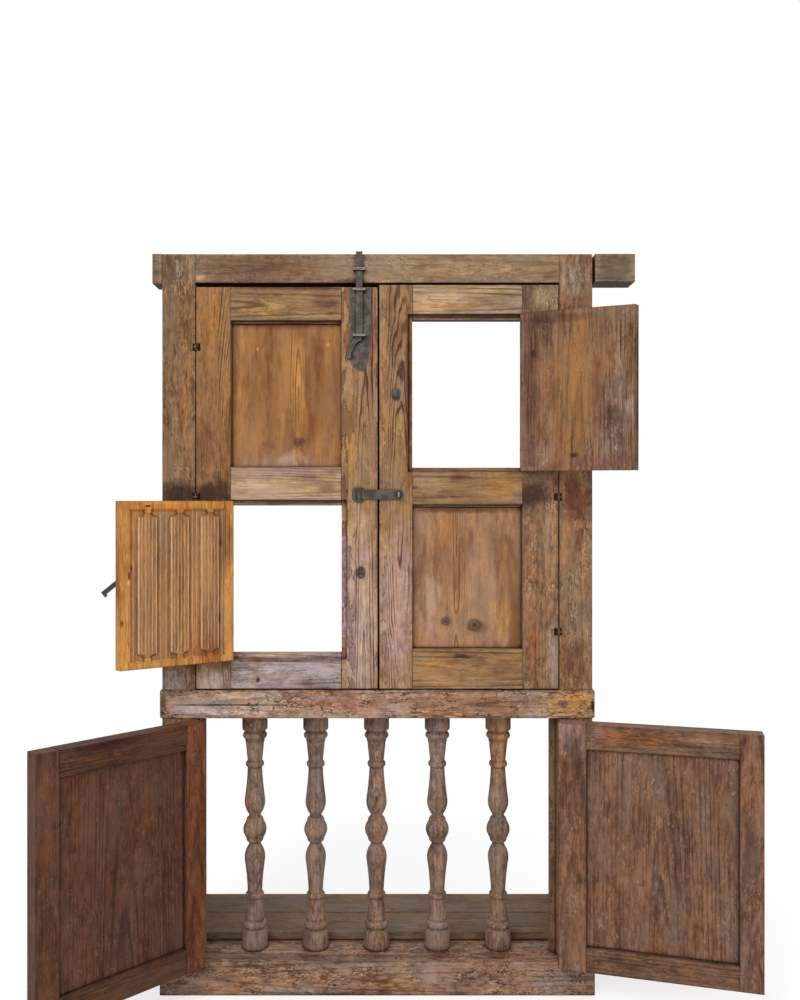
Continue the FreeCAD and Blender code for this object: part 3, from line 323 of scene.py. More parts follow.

# Worn, dirty and faded places, painted shadows and painted shade by node: the photograph's pixel,
# the half width and height in its pixels, and what they do to red, green and blue
MARKS = {
    "left_stile": [(166, 268, 9, 18, 0.8, 0.8, 0.8), (187, 268, 16, 20, 1.06, 1.18, 1.34),
        (187, 400, 6, 90, 1.08, 1.05, 0.97), (167, 380, 6, 100, 0.9, 0.92, 0.98),
        # (178, 494): painted shadow of the open left wicket
        (178, 494, 24, 14, 0.5, 0.46, 0.42), (176, 682, 22, 14, 1.22, 1.38, 1.7)],
    # left_door_hinge_stile (212, 494): painted shadow of the open left wicket
    "left_door_hinge_stile": [(212, 330, 12, 50, 1.08, 1.02, 0.84), (212, 494, 24, 18, 0.46, 0.42, 0.42),
        (206, 445, 12, 40, 0.92, 0.86, 0.86), (214, 684, 26, 17, 1.25, 1.5, 2.05),
        (226, 400, 6, 80, 1.1, 1.06, 0.94)],
    "left_door_top_rail": [(262, 308, 26, 8, 1.2, 1.18, 0.94), (326, 300, 14, 16, 0.84, 0.78, 0.84),
        (312, 315, 26, 4, 1.16, 1.2, 1.24), (244, 292, 14, 5, 0.88, 0.86, 0.84),
        (290, 288, 50, 3, 0.86, 0.82, 0.78)],
    "left_door_panel": [(299, 395, 9, 80, 1.18, 1.18, 1.06), (243, 365, 8, 60, 1.12, 1.12, 1.04),
        (268, 405, 15, 50, 0.92, 0.87, 0.8), (323, 400, 12, 60, 0.94, 0.9, 0.82),
        (285, 466, 60, 11, 1.04, 1.08, 1.34), (292, 459, 14, 8, 1.16, 1.22, 1.34),
        (268, 448, 10, 8, 0.9, 0.84, 0.84), (299, 442, 8, 6, 0.88, 0.8, 0.92),
        (257.5, 349, 1.6, 1.6, 1.4, 1.5, 1.6), (328, 345, 2, 1.6, 1.3, 1.4, 1.5),
        # (290, 325): painted shadow of the top rail along the panel's top
        (290, 325, 60, 5, 0.86, 0.82, 0.8)],
    "left_door_mid_rail": [(254, 482, 16, 10, 1.08, 1.08, 1.08), (306, 477, 14, 3, 0.8, 0.74, 0.84),
        (326, 490, 12, 5, 0.84, 0.8, 0.84), (290, 502, 60, 3, 0.72, 0.66, 0.72)],
    "left_door_meeting_stile": [(350, 430, 9, 50, 1.04, 1.02, 0.88), (360, 610, 24, 95, 1.19, 1.29, 1.6),
        (345, 480, 5, 30, 0.88, 0.84, 0.84), (372, 330, 5, 40, 0.9, 0.8, 0.84),
        (368, 400, 6, 60, 0.98, 0.96, 0.94), (343.5, 580, 2.5, 75, 1.25, 1.3, 1.5)],
    "left_door_bottom_rail": [(258, 680, 2.4, 3, 0.4, 0.38, 0.38), (320, 684, 22, 6, 0.82, 0.8, 0.84),
        (268, 668, 30, 6, 1.12, 1.14, 1.12), (290, 656, 60, 2.5, 1.16, 1.1, 0.96),
        (290, 661, 60, 1.2, 0.66, 0.6, 0.56)],
    # right_door_meeting_stile (408, 390): painted shade in the rebate at the stile's edge
    "right_door_meeting_stile": [(408, 390, 4, 95, 0.7, 0.6, 0.58), (397, 610, 20, 95, 1.18, 1.25, 1.55),
        (390, 300, 8, 16, 0.88, 0.82, 0.8), (396, 430, 8, 50, 1.04, 1.02, 0.92),
        (384, 400, 5, 90, 1.04, 0.98, 0.92), (397, 345, 8, 30, 0.86, 0.78, 0.76)],
    "right_door_top_rail": [(500, 298, 24, 12, 0.94, 0.94, 0.9), (440, 300, 28, 8, 1.08, 1.08, 1.06),
        # (466, 316): painted shade on the soffit under the top rail
        (445, 307, 34, 3, 1.12, 1.04, 0.76), (466, 316, 60, 1.6, 0.7, 0.62, 0.6)],
    # right_door_hinge_stile (532, 494): painted shadow below the open right wicket
    "right_door_hinge_stile": [(532, 494, 20, 20, 0.5, 0.44, 0.42), (551, 545, 6, 60, 1.16, 1.2, 1.32),
        (530, 560, 9, 60, 1.06, 1.0, 1.02), (552, 655, 8, 34, 1.14, 1.2, 1.36),
        (532, 640, 8, 50, 1.04, 0.9, 0.84), (542, 300, 20, 14, 1.14, 1.24, 1.34)],
    "right_door_mid_rail": [(500, 486, 24, 12, 1.1, 1.03, 0.84), (430, 484, 16, 10, 1.06, 1.12, 1.18),
        (462, 478, 12, 5, 0.82, 0.76, 0.78), (450, 494, 14, 5, 0.86, 0.84, 0.84)],
    "right_door_panel": [(450, 530, 16, 26, 1.06, 0.98, 0.86), (505, 575, 12, 50, 0.97, 0.94, 0.84),
        (428, 606, 14, 34, 1.06, 1.1, 1.24), (476, 627, 14, 9, 0.74, 0.72, 0.78),
        (446, 622, 6, 6, 0.8, 0.8, 0.86), (500, 620, 14, 22, 1.14, 1.12, 1.0),
        # (466, 510): painted shadow of the mid rail along the panel's top
        (466, 642, 50, 5, 1.02, 0.98, 1.04), (466, 510, 60, 4, 0.74, 0.68, 0.66),
        (456, 590, 3, 38, 1.0, 0.96, 0.94)],
    "right_door_bottom_rail": [(462, 656, 12, 2.6, 0.56, 0.48, 0.58), (436, 680, 22, 6, 1.16, 1.18, 1.2),
        (505, 668, 16, 12, 0.94, 0.9, 0.84), (440, 664, 24, 6, 1.1, 1.06, 0.92)],
    # right_stile (577, 500): painted shadow below the open right wicket
    "right_stile": [(577, 500, 18, 24, 0.72, 0.58, 0.52), (567, 545, 9, 26, 1.12, 1.05, 0.92),
        (582, 580, 9, 40, 1.1, 1.1, 1.06), (575, 276, 18, 22, 1.1, 1.26, 1.44),
        (572, 660, 14, 26, 0.92, 0.86, 0.84), (589, 420, 4, 120, 0.8, 0.78, 0.76),
        (578, 540, 6, 12, 0.78, 0.7, 0.66), (584, 640, 7, 26, 1.14, 1.14, 1.1)],
    "mid_rail": [(570, 704, 29, 15, 1.04, 0.96, 0.7), (220, 711, 60, 7, 1.12, 1.2, 1.34),
        (340, 704, 50, 9, 1.04, 0.92, 0.88), (228, 705, 75, 0.9, 0.36, 0.3, 0.3),
        (470, 704, 70, 12, 0.88, 0.78, 0.7), (593, 706, 2.5, 8, 0.4, 0.34, 0.34),
        (163, 706, 4, 14, 0.62, 0.6, 0.58), (290, 697, 90, 4, 1.04, 1.1, 1.2),
        (563, 704, 7, 5, 0.88, 0.82, 1.2)],
    "lintel": [(262, 270, 80, 22, 0.84, 0.77, 0.72), (155, 272, 9, 24, 0.78, 0.8, 0.84),
        (614, 270, 26, 24, 0.76, 0.8, 0.82), (200, 277, 6, 3, 1.3, 1.3, 1.3),
        (470, 268, 60, 9, 1.08, 1.08, 1.04), (386, 282, 10, 2, 1.35, 1.3, 1.25),
        (350, 281, 16, 3, 0.7, 0.62, 0.58), (560, 270, 10, 8, 1.1, 1.02, 0.88)],
    "balusters": [(497, 735, 12, 60, 1.14, 1.05, 0.92), (436, 735, 12, 60, 1.06, 1.1, 1.2),
        (376, 735, 12, 60, 1.1, 1.08, 1.08), (315, 735, 12, 60, 1.06, 1.04, 1.0)],
    "right_wicket_board": [(574, 395, 26, 90, 1.08, 1.01, 0.84), (530, 390, 10, 100, 0.84, 0.78, 0.84),
        (619, 400, 8, 85, 1.14, 1.24, 1.36), (632, 404, 5, 13, 1.16, 1.24, 1.4),
        # (639.5, 390): painted shade on the wicket's free edge
        (639.5, 390, 2.5, 95, 0.5, 0.46, 0.42), (574, 455, 5, 3, 0.45, 0.42, 0.44),
        (533, 354, 3, 5, 0.5, 0.46, 0.5), (600, 462, 44, 8, 0.96, 0.9, 1.0),
        (560, 318, 40, 5, 0.84, 0.8, 0.78), (544, 455, 10, 12, 1.14, 1.2, 1.36),
        (598, 400, 7, 60, 0.9, 0.84, 0.9), (606, 444, 12, 18, 1.12, 1.2, 1.32)],
    "left_wicket_board": [(175, 508, 58, 4, 1.02, 0.88, 0.74), (130, 620, 5, 44, 1.04, 0.98, 1.06),
        (162, 540, 12, 36, 0.84, 0.9, 1.02), (225, 540, 8, 34, 0.8, 0.78, 0.84),
        (196, 632, 8, 30, 1.03, 0.96, 0.9), (131, 568, 0.8, 4, 0.58, 0.5, 0.46),
        (129, 576, 1.0, 3.6, 0.54, 0.48, 0.44), (128.5, 583, 1.5, 2.4, 1.15, 1.3, 1.6),
        (122, 624, 2, 4, 0.55, 0.5, 0.5), (221, 543, 1.4, 5, 0.42, 0.38, 0.38),
        (219, 618, 1.4, 7, 0.5, 0.45, 0.45), (148, 506, 3, 1.0, 0.3, 0.24, 0.24),
        (205, 650, 24, 14, 0.96, 0.86, 0.84)],
    "lower_right_rails": [(650, 726, 70, 2.5, 1.3, 1.5, 1.7), (640, 740, 40, 8, 1.08, 0.96, 0.88),
        (700, 742, 30, 4, 1.2, 1.25, 1.35), (604, 736, 14, 10, 1.16, 1.2, 1.3)],
    "lower_right_hinge_stile": [(572, 734, 16, 26, 1.22, 1.32, 1.5)],
    "lower_left_rails": [(100, 734, 70, 3, 0.66, 0.72, 0.8), (110, 744, 50, 5, 0.84, 0.62, 0.5)],
}


def tone_of(shares):
    """Shares of the shown red, green and blue as shares of the light they stand for."""
    return tuple(share ** 2.2 for share in shares)


def visible_face(name):
    """A point and the normal of the face of a node that the photograph shows."""
    corners = [v.co for v in frame["nodes"][name].data.vertices]
    if name not in OPEN_LEAVES:
        return Vector((0, min(c.y for c in corners), 0)), Vector((0, -1, 0))
    turn = math.radians(OPEN_LEAVES[name])
    normal = Vector((-math.sin(turn), math.cos(turn), 0))
    return max(corners, key=normal.dot).copy(), normal


def face_point(name, x, y):
    """Where the photograph's pixel lies on a node's visible face, and a pixel's size there."""
    point, normal = visible_face(name)
    ray = Vector(((x - AXIS_PIXEL[0]) / FOCAL_PIXELS, 1, (AXIS_PIXEL[1] - y) / FOCAL_PIXELS))
    far = normal.dot(point - EYE) / normal.dot(ray)
    return EYE + ray * far, far / FOCAL_PIXELS


class Net:
    """Short calls that add shader nodes to one tree and join them."""

    def __init__(self, tree):
        self.tree = tree

    def add(self, kind, inputs=None, **settings):
        node = self.tree.nodes.new("ShaderNode" + kind)
        for name, value in settings.items():
            setattr(node, name, value)
        for name, value in (inputs or {}).items():
            self.feed(node.inputs[name], value)
        return node

    def feed(self, socket, value):
        if isinstance(value, bpy.types.NodeSocket):
            self.tree.links.new(value, socket)
        else:
            socket.default_value = value

    def math(self, operation, *values, clamp=False):
        inputs = dict(enumerate(values))
        return self.add("Math", inputs, operation=operation, use_clamp=clamp).outputs[0]

    def plus(self, first, second, clamp=False):
        return self.math("ADD", first, second, clamp=clamp)

    def minus(self, first, second):
        return self.math("SUBTRACT", first, second)

    def times(self, first, second, clamp=False):
        return self.math("MULTIPLY", first, second, clamp=clamp)

    def larger(self, first, second):
        return self.math("MAXIMUM", first, second)

    def vector(self, operation, *values):
        outputs = self.add("VectorMath", dict(enumerate(values)), operation=operation).outputs
        return outputs["Value" if operation in ("LENGTH", "DOT_PRODUCT") else "Vector"]

    def split(self, vector):
        return self.add("SeparateXYZ", {"Vector": vector}).outputs

    def join(self, x, y, z):
        return self.add("CombineXYZ", {"X": x, "Y": y, "Z": z}).outputs[0]

    def mix(self, share, first, second, blend="MIX"):
        inputs = {0: share, 6: first, 7: second}
        return self.add("Mix", inputs, data_type="RGBA", blend_type=blend).outputs[2]

    def tint(self, colour, factor):
        return self.mix(1.0, colour, factor, "MULTIPLY")

    def noise(self, place, scale, detail=2.0, rough=0.5, output="Fac"):
        """Noise at a scale per metre."""
        inputs = {"Vector": place, "Scale": scale, "Detail": detail, "Roughness": rough}
        return self.add("TexNoise", inputs).outputs[output]

    def drawn(self, place, scale, detail, rough, along, output="Fac"):
        """Noise that is drawn out along Z, as along below 1 says."""
        return self.noise(self.vector("MULTIPLY", place, (1, 1, along)), scale, detail, rough, output)

    def ramp(self, value, low, high, to_low=0.0, to_high=1.0):
        """A smooth step from to_low to to_high as the value goes from low to high."""
        inputs = dict(enumerate((value, low, high, to_low, to_high)))
        return self.add("MapRange", inputs, interpolation_type="SMOOTHSTEP").outputs[0]

    def fall(self, value, low, high):
        """A smooth step from 1 to 0 as the value goes from low to high."""
        return self.ramp(value, low, high, 1.0, 0.0)

    def band(self, value, rise, full, drop, end):
        """A smooth hill: 0 up to rise, 1 from full to drop, and 0 again from end."""
        return self.times(self.ramp(value, rise, full), self.fall(value, drop, end))


def new_group(name, inputs, outputs):
    """A node group's net and what comes into it; an input is a kind of socket or a default."""
    tree = bpy.data.node_groups.new(name, "ShaderNodeTree")
    for key, given in inputs.items():
        kind = given if isinstance(given, str) else "Color" if isinstance(given, tuple) else "Float"
        socket = tree.interface.new_socket(key, in_out="INPUT", socket_type="NodeSocket" + kind)
        if not isinstance(given, str):
            socket.default_value = shader_value(given)
    for key, kind in outputs.items():
        tree.interface.new_socket(key, in_out="OUTPUT", socket_type="NodeSocket" + kind)
    return Net(tree), tree.nodes.new("NodeGroupInput").outputs


def close_group(net, results):
    """Joins the results to what a group gives out."""
    out = net.tree.nodes.new("NodeGroupOutput")
    for name, value in results.items():
        net.tree.links.new(value, out.inputs[name])
    return net.tree


def shader_value(value):
    """A number as it is, and a colour on screen as the shaders take it."""
    return srgb(*value) if isinstance(value, tuple) else value


def ring_lines(net, given, place):
    """Growth rings round a pith that lies behind the face and leans along the board: the soft
    band and the thin line of each, where they show."""
    bend = net.vector("SUBTRACT", net.drawn(place, 5.0, 2.0, 0.5, 0.22, "Color"), (0.5, 0.5, 0.5))
    bend = net.vector("MULTIPLY", bend, net.join(given["Warp"], given["Warp"], 0.0))
    x, y, z = net.split(net.vector("ADD", given["Place"], bend))
    x = net.minus(x, given["Heart"])
    depth = net.plus(net.plus(y, given["Pith"]), net.times(z, given["Tilt"]))
    radius = net.math("SQRT", net.plus(net.times(x, x), net.times(depth, depth)))
    shiver = net.drawn(place, 38.0, 2.0, 0.6, 0.16)
    radius = net.plus(radius, net.times(shiver, given["Shiver"]))
    radius = net.plus(radius, given["Swell"])
    uneven = net.noise(net.join(radius, 0.0, given["Seed"]), 22.0, 1.0)
    turn = net.plus(net.times(radius, given["Rings"]), net.times(uneven, 4.0))
    ring = net.math("FRACT", turn)
    number = {"W": net.math("FLOOR", turn)}
    chance = net.add("TexWhiteNoise", number, noise_dimensions="1D").outputs["Value"]
    fade = net.drawn(place, 14.0, 2.0, 0.6, 0.22)
    shown = net.times(net.ramp(chance, 0.0, 0.8, 0.25, 1.0), net.ramp(fade, 0.34, 0.62, 0.15, 1.0))
    shown = net.times(net.times(shown, given["Zone"]), given["Lines"])
    soft = net.band(ring, 0.15, 0.80, 0.86, 1.0)
    line = net.band(ring, 0.50, 0.74, 0.82, 0.96)
    return net.times(soft, shown), net.times(line, shown)


def sawn_colour(net, given, place, soft, shared):
    """Two tones in bands, mottling and fibres, with a drifting hue and thin dark threads."""
    streak = net.drawn(place, 50.0, 3.0, 0.65, 0.15)
    fibre = net.times(net.minus(net.plus(shared["fine"], shared["coarse"]), 1.0), given["Fibre"])
    drift = net.times(net.minus(net.plus(streak, shared["board"]), 1.0), given["Bands"])
    patch = net.times(net.minus(shared["cloud"], 0.5), given["Mottle"])
    share = net.times(net.plus(net.plus(fibre, drift), patch), 2.7)
    share = net.plus(net.plus(share, net.times(soft, 0.4)), 0.42, clamp=True)
    colour = net.mix(share, given["Light"], given["Dark"])
    hue = net.ramp(net.drawn(place, 26.0, 3.0, 0.65, 0.3), 0.34, 0.66)
    colour = net.mix(given["Hue"], colour, net.tint(colour, net.mix(hue, WARM_HUE, COOL_HUE)))
    thread = net.ramp(net.drawn(place, 250.0, 2.0, 0.55, 0.018), 0.53, 0.64)
    thread = net.times(thread, net.ramp(net.drawn(place, 30.0, 2.0, 0.5, 0.15), 0.38, 0.62))
    return net.mix(net.times(thread, given["Threads"]), colour, given["Line"])


def aged_colour(net, given, place, colour, shared):
    """Grey, weathered patches, and old stain that stands in flames with a dark outline."""
    worn = net.plus(net.drawn(place, 16.0, 4.0, 0.65, 0.28), net.times(shared["coarse"], 0.3))
    worn = net.times(net.ramp(worn, 0.58, 0.80), given["Weather"], clamp=True)
    colour = net.mix(worn, colour, given["Grey"])
    flame = net.drawn(place, 48.0, 3.0, 0.6, 0.26)
    flame = net.plus(flame, net.times(net.minus(shared["board"], 0.5), 0.35))
    burning = net.times(given["Flames"], net.minus(1.0, net.times(given["Zone"], 0.8)))
    inside = net.times(net.ramp(flame, 0.525, 0.540), net.times(burning, 0.9))
    colour = net.mix(inside, colour, given["Stain"])
    rim = net.band(flame, 0.505, 0.523, 0.535, 0.550)
    return net.mix(net.times(rim, burning), colour, given["Line"])


def waxed_colour(net, given, place, colour):
    """Thin wavy lines that old wax and wear leave, each with a pale edge; and the lines alone."""
    curl = net.minus(net.drawn(place, 74.0, 3.0, 0.6, 0.40), 0.5)
    where = net.ramp(net.drawn(place, 26.0, 2.0, 0.5, 0.6), 0.44, 0.60)
    where = net.times(where, given["Squiggle"])
    pale = net.times(net.band(curl, 0.02, 0.05, 0.06, 0.11), where)
    colour = net.mix(net.times(pale, 0.50), colour, WAX_EDGE)
    wave = net.times(net.fall(net.math("ABSOLUTE", curl), 0.010, 0.034), where)
    return net.mix(net.times(wave, 0.70), colour, given["Line"]), wave


def crack_marks(net, given, place):
    """How strongly cracks, crazed varnish and pores mark each point."""
    split = net.math("ABSOLUTE", net.minus(net.drawn(place, 60.0, 4.0, 0.6, 0.10), 0.5))
    where = net.ramp(net.drawn(place, 20.0, 1.0, 0.5, 0.5), 0.52, 0.64)
    crack = net.times(net.fall(split, 0.003, 0.011), where)
    bent = net.vector("MULTIPLY", net.noise(place, 90.0, 2.0, 0.6, "Color"), (0.010, 0.010, 0.010))
    bent = net.vector("MULTIPLY", net.vector("ADD", place, bent), (1, 1, 0.45))
    cell = net.add("TexVoronoi", {"Vector": bent, "Scale": 130.0}, feature="DISTANCE_TO_EDGE")
    craze = net.ramp(cell.outputs["Distance"], 0.02, 0.13, 0.6, 0.0)
    craze = net.times(craze, net.ramp(net.noise(place, 17.0), 0.42, 0.62))
    crack = net.larger(crack, net.times(craze, given["Craze"]))
    pores = net.ramp(net.drawn(place, 210.0, 2.0, 0.6, 0.2), 0.63, 0.73)
    return net.times(net.larger(crack, net.times(pores, 0.7)), given["Cracks"])


def timber_group():
    """Sawn timber: growth rings cut by the board, bands, fibres, stain, weather and wear.
    The place comes in with Z along the grain and Y into the board."""
    inputs = dict({"Place": "Vector", "Knot": "Float", "Swell": "Float"}, **TIMBER_INPUTS)
    results = {"Colour": "Color", "Roughness": "Float", "Height": "Float"}
    net, given = new_group("timber", inputs, results)
    away = net.join(*[net.times(given["Seed"], step) for step in SEED_STEPS])
    place = net.vector("ADD", given["Place"], away)
    shared = {name: net.drawn(place, *numbers) for name, numbers in SHARED_NOISE.items()}

    soft, line = ring_lines(net, given, place)
    colour = sawn_colour(net, given, place, soft, shared)
    colour = aged_colour(net, given, place, colour, shared)
    colour, wave = waxed_colour(net, given, place, colour)
    colour = net.mix(net.times(line, 0.9, clamp=True), colour, given["Line"])
    marks = crack_marks(net, given, place)
    colour = net.mix(net.times(marks, 0.9, clamp=True), colour, CRACK)
    specks = net.ramp(net.drawn(place, 170.0, 2.0, 0.6, 0.35), 0.66, 0.74)
    colour = net.mix(net.times(specks, given["Specks"]), colour, SPECK)
    colour = net.mix(given["Knot"], colour, KNOT)

    height = net.times(line, 0.45)
    for part, share in ((shared["coarse"], 0.7), (shared["fine"], 0.3), (marks, -1.2), (wave, -0.8),
                        (shared["cloud"], 1.1)):
        height = net.plus(height, net.times(part, share))
    rough = net.minus(net.plus(0.60, net.times(shared["coarse"], 0.25)), net.times(line, 0.08))
    return close_group(net, {"Colour": colour, "Roughness": rough, "Height": height})


def mark_group():
    """One worn, dirty or faded place, or one painted shadow: it multiplies the tone inside a ragged ellipse.
    """
    inputs = {"Tone": "Color", "Place": "Vector", "Centre": "Vector", "Shrink": "Vector",
              "Tint": "Vector", "Ragged": "Float"}
    net, given = new_group("mark", inputs, {"Tone": "Color"})
    away = net.vector("SUBTRACT", given["Place"], given["Centre"])
    far = net.vector("LENGTH", net.vector("MULTIPLY", away, given["Shrink"]))
    share = net.fall(net.plus(far, given["Ragged"]), 0.35, 1.25)
    tone = net.tint(given["Tone"], net.mix(share, WHITE, given["Tint"]))
    return close_group(net, {"Tone": tone})


def new_material(name):
    material = bpy.data.materials.new(name)
    material.use_nodes = True
    material.node_tree.nodes.clear()
    return material, Net(material.node_tree)


def finish_material(net, colour, rough, height, distance=0.001, metal=0.0):
    """Bump, shader and output; what is the same all over is set on the shader itself."""
    normal = net.add("Bump", {"Height": height, "Strength": BUMP, "Distance": distance}).outputs[0]
    shader = net.add("BsdfPrincipled", {"Base Color": colour, "Roughness": rough, "Normal": normal})
    shader.inputs["Metallic"].default_value = metal
    shader.inputs["Specular IOR Level"].default_value = SPECULAR
    net.add("OutputMaterial", {"Surface": shader.outputs[0]})


def knots_at(net, place, knots, ragged):
    """How dark a knot makes each point, and how far it pushes the rings round it."""
    dark, swell = 0.0, 0.0
    for centre, width, height in knots:
        away = net.vector("SUBTRACT", place, tuple(centre))
        away = net.vector("MULTIPLY", away, (1 / width, 1 / width, 1 / height))
        far = net.plus(net.vector("LENGTH", away), ragged)
        core = net.times(net.ramp(far, 0.15, 0.50, 0.9, 0.35), net.fall(far, 0.55, 0.95))
        rim = net.times(net.ramp(far, 0.55, 0.85, 0.0, 0.55), net.fall(far, 0.90, 1.55))
        dark = net.larger(dark, net.larger(core, rim))
        near = net.math("EXPONENT", net.times(net.times(far, far), -0.16))
        swell = net.plus(swell, net.times(near, width * 1.6))
    return dark, swell


def painted_crevice_shade(net, colour, reach=0.012, strength=0.9):
    """Painted shade where surfaces meet and on faces that look down."""
    open_sky = net.add("AmbientOcclusion", {"Distance": reach}, samples=6).outputs["AO"]
    share = net.ramp(open_sky, 0.35, 0.90, strength, 0.0)
    up = net.split(net.add("NewGeometry").outputs["True Normal"])[2]
    # painted shade on faces that look down
    share = net.larger(share, net.ramp(up, -0.95, -0.6, 0.8, 0.0))
    return net.mix(share, colour, net.tint(colour, CREVICE_SHADE))


def edge_share(net, radius):
    """1 along a piece's edges, 0 on its open faces."""
    soft = net.add("Bevel", {"Radius": radius}, samples=4).outputs[0]
    sharp = net.add("NewGeometry").outputs["True Normal"]
    return net.fall(net.vector("DOT_PRODUCT", soft, sharp), 0.93, 0.998)


def edge_dirt(net, colour, place):
    """The dark line that dirt and wear draw along a board's edges."""
    share = net.times(edge_share(net, 0.0035), 0.7)
    broken = net.ramp(net.noise(place, 55.0, 3.0, 0.6), 0.35, 0.60, 0.5, 1.0)
    return net.mix(net.times(share, broken), colour, net.tint(colour, EDGE_DIRT))


def carving_colour(net, colour):
    """Painted highlight with rubbed wear on the ridges, painted shade with dirt in the grooves, and the
    golden margin of the carved wicket.
    """
    paint = net.add("Attribute", attribute_name="carving").outputs["Color"]
    ridge, groove, margin = net.split(paint)
    colour = net.mix(margin, colour, net.tint(colour, GOLDEN))
    # painted shade with dirt in the grooves
    colour = net.mix(net.times(groove, 0.7), colour, GROOVE_DIRT_AND_SHADE)
    # painted highlight with wear on the ridges
    return net.mix(net.times(ridge, 0.95), colour, RIDGE_WEAR_AND_HIGHLIGHT)


def board_knots(name, middle):
    """A board's knots: the centre from the board's middle, half width and half height, metres."""
    knots = []
    for x, y, width, height in KNOTS.get(name, []):
        point, pixel = face_point(name, x, y)
        knots.append((point - middle, width * pixel, height * pixel))
    return knots


def marked_tone(net, name, place, centre, middle, group):
    """What a board's worn, dirty and faded places and painted shadows multiply its colour by."""
    ragged = net.times(net.minus(net.noise(place, 34.0, 3.0, 0.65), 0.5), 1.6)
    tone = WHITE
    for x, y, width, height, *tint in MARKS.get(name, []):
        point, pixel = face_point(name, x, y)
        shrink = (1 / (width * pixel), MARK_SHRINK_Y, 1 / (height * pixel))
        inputs = {"Tone": tone, "Place": centre, "Centre": tuple(point - middle), "Shrink": shrink,
                  "Tint": tone_of(tint), "Ragged": ragged}
        tone = net.add("Group", inputs, node_tree=group).outputs["Tone"]
    return tone


def unturned(net, name, centre):
    """The place in a board's own upright frame, where an open leaf has turned it."""
    if name not in OPEN_LEAVES:
        return centre
    inputs = {"Vector": centre, "Angle": -math.radians(OPEN_LEAVES[name])}
    return net.add("VectorRotate", inputs, rotation_type="Z_AXIS").outputs[0]


def timber_material(name, groups, node_name=None):
    """One board's own material: the shared timber, placed and turned to its grain."""
    node_name = node_name or name
    look, axis, seed = WOOD[node_name]
    material, net = new_material(name)
    place = net.add("TexCoord").outputs["Object"]
    low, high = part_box(node_name)
    middle = (low + high) / 2
    centre = net.vector("SUBTRACT", place, tuple(middle))
    uneven = net.minus(net.noise(place, 110.0, 3.0, 0.65), 0.5)
    dark, swell = knots_at(net, centre, board_knots(node_name, middle), uneven)
    tone = marked_tone(net, node_name, place, centre, middle, groups["mark"])

    own = unturned(net, node_name, centre)
    x, y, z = net.split(own)
    if axis == "x":
        own = net.join(z, y, x)
    if axis == "y":
        own = net.join(x, z, y)
    inputs = dict(LOOKS[look], **PLACED.get(node_name, {}))
    inputs = {key: shader_value(value) for key, value in inputs.items()}
    inputs.update({"Place": own, "Knot": dark, "Swell": swell, "Seed": float(seed)})
    if node_name in ZONES:
        zone_x, half = ZONES[node_name]
        off = net.math("DIVIDE", net.math("ABSOLUTE", net.minus(x, zone_x)), half)
        inputs["Zone"] = net.fall(off, 0.7, 1.3)
    grain = net.add("Group", inputs, node_tree=groups["timber"]).outputs

    colour = net.tint(grain["Colour"], tone)
    if node_name in TONES:
        colour = net.tint(colour, tone_of(TONES[node_name]) + (1,))
    if node_name == "left_wicket_board":
        colour = carving_colour(net, colour)
    # painted shade in crevices and on down-facing faces, then the dark edge lines
    colour = edge_dirt(net, painted_crevice_shade(net, colour), place)
    finish_material(net, colour, grain["Roughness"], grain["Height"])
    return material


def iron_material(name, rubbed_and_highlit, width, brown=0.0):
    """Old forged iron with hammered dents and rust in patches, and a painted highlight with wear along its
    edges.
    The second argument is how pale its edges are, width how far they reach, and brown how far rust covers it
    all."""
    material, net = new_material(name)
    place = net.add("TexCoord").outputs["Object"]
    patch = net.noise(place, 110.0, 4.0, 0.65)
    grain = net.noise(place, 480.0, 3.0, 0.6)
    cloud = net.noise(place, 46.0, 3.0, 0.6)
    rust = net.ramp(net.plus(patch, net.times(grain, 0.3)), 0.62, 0.82)
    colour = net.mix(net.ramp(cloud, 0.36, 0.64), IRON_DARK, IRON_LIGHT)
    colour = net.mix(net.ramp(grain, 0.3, 0.7, 0.45, 0.0), colour, IRON_GRAIN)
    colour = net.mix(net.times(rust, 0.45), colour, IRON_RUST)
    # painted highlight with wear along the edges
    share = net.times(edge_share(net, width), net.ramp(patch, 0.35, 0.55, 0.35, 1.0))
    colour = net.mix(net.times(share, rubbed_and_highlit), colour, IRON_EDGE_WEAR_AND_HIGHLIGHT)
    colour = net.mix(brown, colour, IRON_BROWN)
    # painted shade in the iron's hollows and on its undersides
    colour = painted_crevice_shade(net, colour, 0.008, 0.8)
    rough = net.ramp(rust, 0.0, 1.0, 0.50, 0.8)
    height = net.plus(net.times(patch, 2.0), net.times(grain, 0.6))
    finish_material(net, colour, rough, height, 0.0008, 0.35)
    return material


def set_material(piece, material):
    """Gives every face of a piece one material, through its slots."""
    if not piece.material_slots:
        piece.data.materials.append(material)
    for entry in piece.material_slots:
        entry.material = material


def soften(piece, width):
    """Takes the sharpness off a CAD node's edges without touching its mesh."""
    weld = piece.modifiers.new("weld", "WELD")
    weld.merge_threshold = WELD_REACH
    flat = piece.modifiers.new("flat faces", "DECIMATE")
    flat.decimate_type = "DISSOLVE"
    flat.angle_limit = math.radians(FLAT_DEGREES)
    bevel = piece.modifiers.new("worn edges", "BEVEL")
    bevel.width = width
    bevel.segments = 2
    bevel.limit_method = "ANGLE"
    bevel.angle_limit = math.radians(SHARP_DEGREES)
    bevel.use_clamp_overlap = True


def new_object(name, data):
    piece = bpy.data.objects.new(name, data)
    bpy.context.scene.collection.objects.link(piece)
    return piece


def mesh_piece(name, vertices, faces):
    mesh = bpy.data.meshes.new(name)
    mesh.from_pydata(vertices, [], faces)
    mesh.update()
    for face in mesh.polygons:
        face.use_smooth = True
    return new_object(name, mesh)


